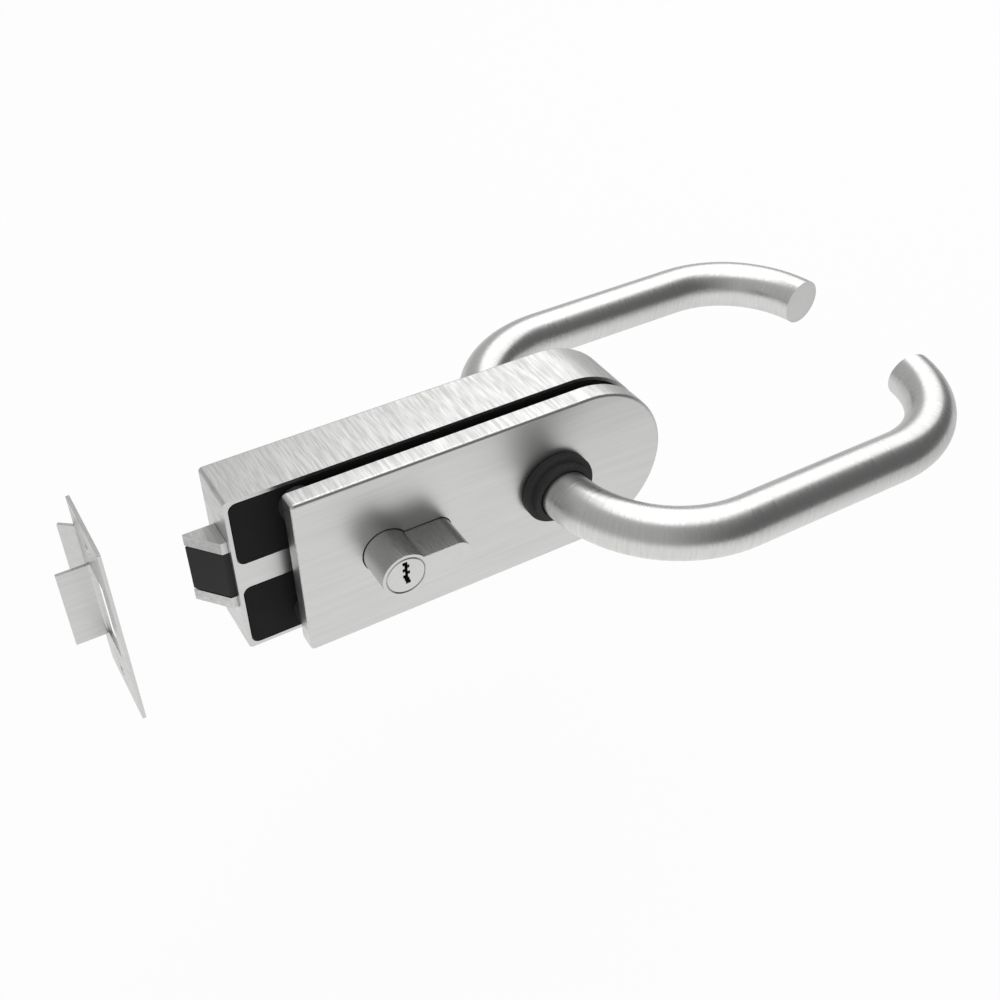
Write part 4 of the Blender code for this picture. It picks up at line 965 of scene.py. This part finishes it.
class GeometrySheet(Sheet):
    """A geometry node group; its inputs are named, and sorted by their kind."""

    def __init__(self, name, floats, counts=(), vectors=()):
        tree = bpy.data.node_groups.new(name, "GeometryNodeTree")
        tree.is_modifier = True
        super().__init__(tree)
        for kind, labels in (("Geometry", ["Geometry"]), ("Float", floats),
                             ("Int", counts), ("Vector", vectors),
                             ("Material", ["Material"])):
            for label in labels:
                tree.interface.new_socket(name=label, in_out="INPUT",
                                          socket_type="NodeSocket" + kind)
        tree.interface.new_socket(name="Geometry", in_out="OUTPUT",
                                  socket_type="NodeSocketGeometry")
        self.source = tree.nodes.new("NodeGroupInput")
        self.result = tree.nodes.new("NodeGroupOutput")

    def input(self, label):
        return Wire(self, self.source.outputs[label])

    def cylinder(self, sides, radius, depth):
        return self.node("GeometryNodeMeshCylinder", {}, {
            "Vertices": sides, "Radius": radius, "Depth": depth})

    def merge(self, operation, inputs):
        return self.node("GeometryNodeMeshBoolean", {"operation": operation,
                                                     "solver": "EXACT"}, inputs)

    def sweep(self, curve, sides, radius):
        """A solid rod along a curve."""
        ring = self.node("GeometryNodeCurvePrimitiveCircle", {}, {
            "Resolution": sides, "Radius": radius})
        return self.node("GeometryNodeCurveToMesh", {}, {
            "Curve": curve, "Profile Curve": ring, "Fill Caps": True})

    def on_points(self, shape, turn):
        return self.node("GeometryNodeInstanceOnPoints", {}, {
            "Points": self.input("Geometry"), "Instance": shape, "Rotation": turn})

    def close(self, geometry):
        """End the tree: real mesh, material, output."""
        real = self.node("GeometryNodeRealizeInstances", {}, {"Geometry": geometry})
        dressed = self.node("GeometryNodeSetMaterial", {}, {
            "Geometry": real, "Material": self.input("Material")})
        self.tree.links.new(dressed.socket, self.result.inputs["Geometry"])
        return self.tree


def grow(name, tree, values, points, joined=False):
    """Run a geometry tree on a few points or a path, and keep its plain mesh."""
    bm = bmesh.new()
    corners = [bm.verts.new(point) for point in points]
    if joined:
        for first, second in zip(corners, corners[1:]):
            bm.edges.new((first, second))
    piece = link(name, bm)
    modifier = piece.modifiers.new(name, "NODES")
    modifier.node_group = tree
    for item in tree.interface.items_tree:
        if item.in_out == "INPUT" and item.name in values:
            modifier[item.identifier] = values[item.name]
    bake_modifiers(piece)
    if not piece.data.polygons:
        raise RuntimeError(f"{name} came out empty")
    return piece


def tube_tree():
    """Tree: a path with filleted corners, trimmed and swept to a solid rod."""
    sheet = GeometrySheet("Bent tube", ("Radius", "Neck Bend", "End Bend", "Length"),
                          ("Bend Steps", "Sides"))
    path = sheet.node("GeometryNodeMeshToCurve", {}, {0: sheet.input("Geometry")})
    later = sheet.node("FunctionNodeCompare", {"data_type": "INT",
                                               "operation": "GREATER_THAN"},
                       {2: sheet.node("GeometryNodeInputIndex"), 3: 1})
    radius = sheet.node("GeometryNodeSwitch", {"input_type": "FLOAT"}, {
        "Switch": later, "False": sheet.input("Neck Bend"),
        "True": sheet.input("End Bend")})
    bent = sheet.node("GeometryNodeFilletCurve", {"mode": "POLY"}, {
        "Curve": path, "Count": sheet.input("Bend Steps"), "Radius": radius,
        "Limit Radius": True})
    ended = sheet.node("GeometryNodeTrimCurve", {"mode": "LENGTH"}, {
        "Curve": bent, 4: 0.0, 5: sheet.input("Length")})
    return sheet.close(sheet.sweep(ended, sheet.input("Sides"), sheet.input("Radius")))


class LOCK_OT_levers(Operator):
    """Make the two bent tube levers with geometry nodes"""

    bl_idname = "lock.levers"
    bl_label = "Levers"

    def execute(self, context):
        sizes = context.scene.lock_sizes
        tree = tube_tree()
        self.lever(sizes, tree, "front_lever", "front_grub_screw", -1)
        self.lever(sizes, tree, "rear_lever", "rear_grub_screw", 1)
        return {"FINISHED"}

    def lever(self, sizes, tree, node, grub, side):
        """A tube from its neck out, along and back again, closed at its end."""
        neck, grip = inner_outer(node, side)
        grip -= side * TUBE_RADIUS
        far_x = high(node).x - TUBE_RADIUS
        first, last = sizes.neck_bend, sizes.end_bend
        turn = math.acos(1 - sizes.lever_return / last)
        path = [(LEVER_X, neck, 0), (LEVER_X, grip, 0), (far_x, grip, 0),
                (far_x, grip - side * (last + PATH_END), 0)]
        straight = abs(grip - neck) - first
        bend = first * math.pi / 2
        across = far_x - LEVER_X - first - last
        length = straight + bend + across + last * turn
        values = {"Radius": TUBE_RADIUS, "Neck Bend": first, "End Bend": last,
                  "Bend Steps": BEND_STEPS, "Length": length, "Sides": sizes.tube_sides,
                  "Material": material("tube_steel")}
        tube = grow(node + "_tube", tree, values, path, True)
        path[0] = (LEVER_X, neck - side * OUT, 0)
        values["Radius"] = TUBE_RADIUS - sizes.tube_wall
        values["Length"] = length + OUT - LEVER_END_WALL
        spot = middle(grub)
        cut(tube, grow(node + "_bore", tree, values, path, True),
            rod(node + "_grub_hole", "Z", spot.x, spot.y, GRUB_HOLE_RADIUS,
                -TUBE_RADIUS - OUT, GRUB_HOLE_TOP, SCREW_SIDES))
        settle(tube, sizes.lever_edge, edge_angle=60)
        near_x = LEVER_X + first
        nearest = 0.0001     # keeps the angle round the return below 90 degrees

        def distance(point):
            """How far along the lever's axis a point of its surface lies."""
            out = side * (point.y - grip) + first
            if point.x <= near_x and out <= 0:
                return straight + out
            if point.x <= near_x:
                return straight + first * math.atan2(out, near_x - point.x)
            if point.x <= far_x - last:
                return straight + bend + point.x - near_x
            out = max(side * (point.y - grip) + last, nearest)
            return (straight + bend + across
                    + last * math.atan2(point.x - far_x + last, out))

        along = tube.data.attributes.new("along", "FLOAT", "POINT")
        for vertex, value in zip(tube.data.vertices, along.data):
            value.value = distance(vertex.co)
        place_piece(tube, "levers", "tube_steel", node)


class LOCK_OT_strike(Operator):
    """Make the strike plate with its bent tongue and flared lip"""

    bl_idname = "lock.strike"
    bl_label = "Strike Plate"

    def execute(self, context):
        sizes = context.scene.lock_sizes
        node = "strike_plate"
        thick = STRIKE_THICKNESS
        tongue_end = low(node).x
        front_x, _, half = high(node)
        back_x = front_x - thick
        high_y = STRIKE_Y + STRIKE_HALF_WIDTH
        sheet = rounded_box(STRIKE_Y - STRIKE_HALF_WIDTH, high_y, -half, half,
                            STRIKE_CORNER)
        plate = prism("strike_sheet", sheet, back_x, front_x, axis="X")
        opening_end = TONGUE_Y + TONGUE_STEP
        cut(plate, block("opening", (back_x - OUT, front_x + OUT),
                         (opening_end - OPENING_WIDTH, opening_end),
                         (-OPENING_HALF, OPENING_HALF)))
        bend = sizes.strike_bend
        outer = bend + thick
        centre_x, centre_y = front_x - outer, TONGUE_Y + outer
        root_y = centre_y + TONGUE_ROOT
        tongue = [(front_x, root_y), *arc(centre_x, centre_y, outer, 0, -90, 10),
                  (tongue_end, TONGUE_Y), (tongue_end, TONGUE_Y + thick),
                  *arc(centre_x, centre_y, bend, -90, 0, 8), (back_x, root_y)]
        add(plate, prism("tongue", tongue, -TONGUE_HALF, TONGUE_HALF, axis="Z"))
        tip_x = front_x - LIP_LENGTH * math.sin(LIP_LEAN)
        tip_y = high_y + LIP_LENGTH * math.cos(LIP_LEAN)
        below, behind, above = LIP_BREAK
        lip = [(front_x, high_y - LIP_ROOT), (front_x, high_y - below),
               (front_x - behind, high_y + above), (tip_x, tip_y),
               (tip_x - thick * math.cos(LIP_LEAN), tip_y - thick * math.sin(LIP_LEAN)),
               (back_x, high_y - thick * 0.5), (back_x, high_y - LIP_ROOT)]
        add(plate, prism("lip", lip, -LIP_HALF, LIP_HALF, axis="Z"))
        for z in (-STRIKE_SCREW_Z, STRIKE_SCREW_Z):
            cut(plate, sunk_hole("screw_hole", "X", STRIKE_Y, z, front_x, back_x - OUT,
                                 STRIKE_SINK_RADIUS, STRIKE_SINK_DEPTH,
                                 STRIKE_HOLE_RADIUS))
        settle(plate, sizes.strike_edge)
        place_piece(plate, "lock_body", "brushed_steel", node)
        return {"FINISHED"}


def screw_tree():
    """Tree: a countersunk screw with a hexagon socket on each point."""
    sheet = GeometrySheet("Countersunk screws", (
        "Head Radius", "Head Depth", "Shank Radius", "Length", "Socket Radius"),
        vectors=("Turn",))
    depth = sheet.input("Head Depth")
    length = sheet.input("Length")
    head = sheet.node("GeometryNodeMeshCone", {}, {
        "Vertices": SCREW_SIDES, "Radius Top": sheet.input("Shank Radius"),
        "Radius Bottom": sheet.input("Head Radius"), "Depth": depth})
    lift = sheet.node("ShaderNodeCombineXYZ", {}, {2: length * 0.5 + depth * 0.5})
    shank = sheet.node("GeometryNodeTransform", {}, {
        "Geometry": sheet.cylinder(SCREW_SIDES, sheet.input("Shank Radius"), length),
        "Translation": lift})
    socket = sheet.cylinder(6, sheet.input("Socket Radius"), depth * 1.4)
    whole = sheet.merge("UNION", {1: [head, shank]})
    screw = sheet.merge("DIFFERENCE", {0: whole, 1: socket})
    return sheet.close(sheet.on_points(screw, sheet.input("Turn")))


class LOCK_OT_screws(Operator):
    """Set the countersunk screws with geometry nodes"""

    bl_idname = "lock.screws"
    bl_label = "Screws"

    def execute(self, context):
        tree = screw_tree()
        quarter = math.pi / 2
        heads = [(middle(n).x, CASE_DEPTH, middle(n).z) for n in CLAMP_SCREWS]
        self.group(tree, "clamp_screws", heads, CLAMP_SCREW,
                   CASE_DEPTH - low(CLAMP_SCREWS[0]).y, (quarter, 0, 0), CLAMP_SCREWS)
        heads = [(middle(n).x, low(n).y, middle(n).z) for n in PLATE_SCREWS]
        self.group(tree, "plate_screws", heads, PLATE_SCREW, PLATE_SCREW_LENGTH,
                   (-quarter, 0, 0), PLATE_SCREWS)
        node = "cylinder_fixing_screw"
        heads = [(middle(node).x, middle(node).y, low(node).z)]
        self.group(tree, "fixing_screw", heads, FIXING_SCREW,
                   high(node).z - low(node).z, (0, 0, 0), [node])
        return {"FINISHED"}

    def group(self, tree, name, points, sizes, length, turn, nodes):
        head, depth, shank, socket = sizes
        values = {"Head Radius": head, "Head Depth": depth, "Shank Radius": shank,
                  "Length": length - depth / 2, "Socket Radius": socket, "Turn": turn,
                  "Material": material("zinc_steel")}
        screws = grow(name, tree, values, points)
        settle(screws, angle=30)
        place_piece(screws, "lock_body", "zinc_steel", *nodes)


def coil_tree():
    """Tree: a round wire wound on a helix."""
    sheet = GeometrySheet("Compression spring",
                          ("Coil Radius", "Wire Radius", "Turns", "Height"))
    radius = sheet.input("Coil Radius")
    helix = sheet.node("GeometryNodeCurveSpiral", {}, {
        "Resolution": COIL_STEPS, "Rotations": sheet.input("Turns"), "Start Radius": radius,
        "End Radius": radius, "Height": sheet.input("Height")})
    wound = sheet.sweep(helix, WIRE_SIDES, sheet.input("Wire Radius"))
    return sheet.close(sheet.on_points(wound, (0, math.pi / 2, 0)))


class LOCK_OT_springs(Operator):
    """Wind the latch spring and the return spring with geometry nodes"""

    bl_idname = "lock.springs"
    bl_label = "Springs"

    def execute(self, context):
        wire = context.scene.lock_sizes.coil_wire
        tree = coil_tree()
        for node, turns, joint, fixed, keep in (
                ("latch_spring", 7.0, "latch_slide", high, 0.44),
                ("return_spring", 4.0, "lever_turn", low, 0.29)):
            start, centre, end = low(node), middle(node), high(node)
            values = {"Coil Radius": end.z - centre.z - wire, "Wire Radius": wire,
                      "Turns": turns, "Height": end.x - start.x - 2 * wire,
                      "Material": material("zinc_steel")}
            spring = grow(node + "_coil", tree, values,
                          [(start.x + wire, centre.y, centre.z)])
            settle(spring)
            place_piece(spring, "lock_body", "zinc_steel", node)
            anchor = (fixed(node).x, centre.y, centre.z)
            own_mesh(spring)
        return {"FINISHED"}


def direction(azimuth, elevation):
    """Unit vector; the azimuth runs from +Y to +X and the elevation up."""
    level = math.cos(elevation)
    return Vector((math.sin(azimuth) * level, math.cos(azimuth) * level,
                   math.sin(elevation)))


class LOCK_OT_studio(Operator):
    """Set up the camera, the pale floor and the soft light"""

    bl_idname = "lock.studio"
    bl_label = "Studio"

    def execute(self, context):
        studio = context.scene.lock_studio
        self.camera(context, studio)
        self.floor(studio)
        self.lamp(context, studio, "softbox")
        self.lamp(context, studio, "overhead")
        self.world(context, studio)
        context.scene.view_settings.view_transform = "Standard"
        return {"FINISHED"}

    def camera(self, context, studio):
        data = bpy.data.cameras.new("camera")
        data.lens = studio.focal_length
        data.sensor_width = 36
        data.clip_start = 0.01
        camera = bpy.data.objects.new("camera", data)
        forward = direction(studio.azimuth, -studio.elevation)
        right = forward.cross(Vector((0, 0, 1))).normalized()
        up = right.cross(forward)
        roll = studio.roll
        axes = Matrix((right * math.cos(roll) + up * math.sin(roll),
                       up * math.cos(roll) - right * math.sin(roll), -forward))
        camera.matrix_world = (Matrix.Translation(CAMERA_PLACE)
                               @ axes.transposed().to_4x4())
        context.scene.collection.objects.link(camera)
        context.scene.camera = camera

    def floor(self, studio):
        """A pale floor that the camera sees white, with a trace of shadow; metal sees it
        glow in a painted pool of light, brightest near the lock.
        """
        bm = bmesh.new()
        bmesh.ops.create_grid(bm, x_segments=1, y_segments=1, size=FLOOR_HALF)
        bmesh.ops.translate(bm, vec=(0, FLOOR_Y, studio.floor_height), verts=bm.verts)
        floor = link("floor", bm)
        look = bpy.data.materials.new("pale_floor")
        look.use_nodes = True
        sheet = Sheet(look.node_tree)
        output = look.node_tree.nodes["Material Output"]
        look.node_tree.nodes.remove(look.node_tree.nodes["Principled BSDF"])
        # Painted pool of light: in reflections the floor glows brighter near the lock and
        # dimmer further out.
        distance = sheet.node("ShaderNodeVectorMath", {"operation": "DISTANCE"}, {
            0: sheet.node("ShaderNodeTexCoord", output="Object"),
            1: (PAINTED_POOL_X, PAINTED_POOL_Y, studio.floor_height)}, "Value")
        painted_pool = sheet.ramp(distance, PAINTED_POOL_START, PAINTED_POOL_END, studio.pool_middle,
                          studio.pool_edge)
        seen, glossy = sheet.rays()
        paint = sheet.node("ShaderNodeBsdfDiffuse", {}, {"Color": FLOOR_COLOUR})
        glow = sheet.node("ShaderNodeEmission", {}, {"Color": WHITE,
                                                     "Strength": seen + glossy * painted_pool})
        mixed = sheet.node("ShaderNodeMixShader", {}, {0: (seen + glossy) * FLOOR_GLOW,
                                                       1: paint, 2: glow})
        look.node_tree.links.new(mixed.socket, output.inputs["Surface"])
        floor.data.materials.append(look)

    def lamp(self, context, studio, name):
        """An oval lamp that faces the lock, with the studio's values for its name."""
        azimuth, elevation, width, height, radiance = (
            getattr(studio, f"{name}_{value}")
            for value in ("azimuth", "elevation", "width", "height", "radiance"))
        data = bpy.data.lights.new(name, "AREA")
        data.shape = "ELLIPSE"
        data.size = width
        data.size_y = height
        data.energy = radiance * math.pi * math.pi * width * height / 4
        lamp = bpy.data.objects.new(name, data)
        away = direction(azimuth, elevation)
        lamp.location = LAMP_TARGET + away * studio.lamp_distance
        lamp.rotation_euler = away.to_track_quat("Z", "Y").to_euler()
        lamp.visible_camera = False
        context.scene.collection.objects.link(lamp)

    def world(self, context, studio):
        """White for the camera, a room lit from the left for metal, plain light else."""
        world = bpy.data.worlds.new("studio")
        world.use_nodes = True
        context.scene.world = world
        sheet = Sheet(world.node_tree)
        background = world.node_tree.nodes["Background"]
        background.inputs["Color"].default_value = WHITE
        seen, glossy = sheet.rays()
        way = sheet.node("ShaderNodeTexCoord", output="Generated")
        x, y = ROOM_LEFT_WAY
        leftward = sheet.axis(way, 0) * x + sheet.axis(way, 1) * y
        room = sheet.ramp(leftward, ROOM_START, ROOM_END, studio.room, studio.room_left)
        ambient = studio.ambient
        strength = seen * (1 - ambient) + glossy * (room - ambient) + ambient
        world.node_tree.links.new(strength.socket, background.inputs["Strength"])


class LOCK_PT_panel(Panel):
    """Lists the pieces of the lock with their sizes and looks"""

    bl_idname = "LOCK_PT_panel"
    bl_label = "Glass Door Lock"
    bl_space_type = "VIEW_3D"
    bl_region_type = "UI"
    bl_category = "Glass Lock"

    def draw(self, context):
        layout = self.layout
        for group in (context.scene.lock_sizes, context.scene.lock_finish,
                      context.scene.lock_studio):
            column = layout.column(align=True)
            for name in group.bl_rna.properties.keys():
                if name not in {"rna_type", "name"}:
                    column.prop(group, name)
        for operator in OPERATORS:
            layout.operator(operator.bl_idname)


OPERATORS = (LOCK_OT_finishes, LOCK_OT_rear_case, LOCK_OT_front_cover,
             LOCK_OT_glass_pads, LOCK_OT_cylinder, LOCK_OT_bushes, LOCK_OT_latch,
             LOCK_OT_levers, LOCK_OT_strike, LOCK_OT_screws, LOCK_OT_springs,
             LOCK_OT_studio)
CLASSES = (LockSizes, LockFinish, LockStudio, *OPERATORS, LOCK_PT_panel)


def register():
    for made in CLASSES:
        bpy.utils.register_class(made)
    bpy.types.Scene.lock_sizes = PointerProperty(type=LockSizes)
    bpy.types.Scene.lock_finish = PointerProperty(type=LockFinish)
    bpy.types.Scene.lock_studio = PointerProperty(type=LockStudio)


def unregister():
    del bpy.types.Scene.lock_studio
    del bpy.types.Scene.lock_finish
    del bpy.types.Scene.lock_sizes
    for made in reversed(CLASSES):
        bpy.utils.unregister_class(made)


def main():
    register()
    for operator in OPERATORS:
        group, name = operator.bl_idname.split(".")
        getattr(getattr(bpy.ops, group), name)()


if __name__ == "__main__":
    main()
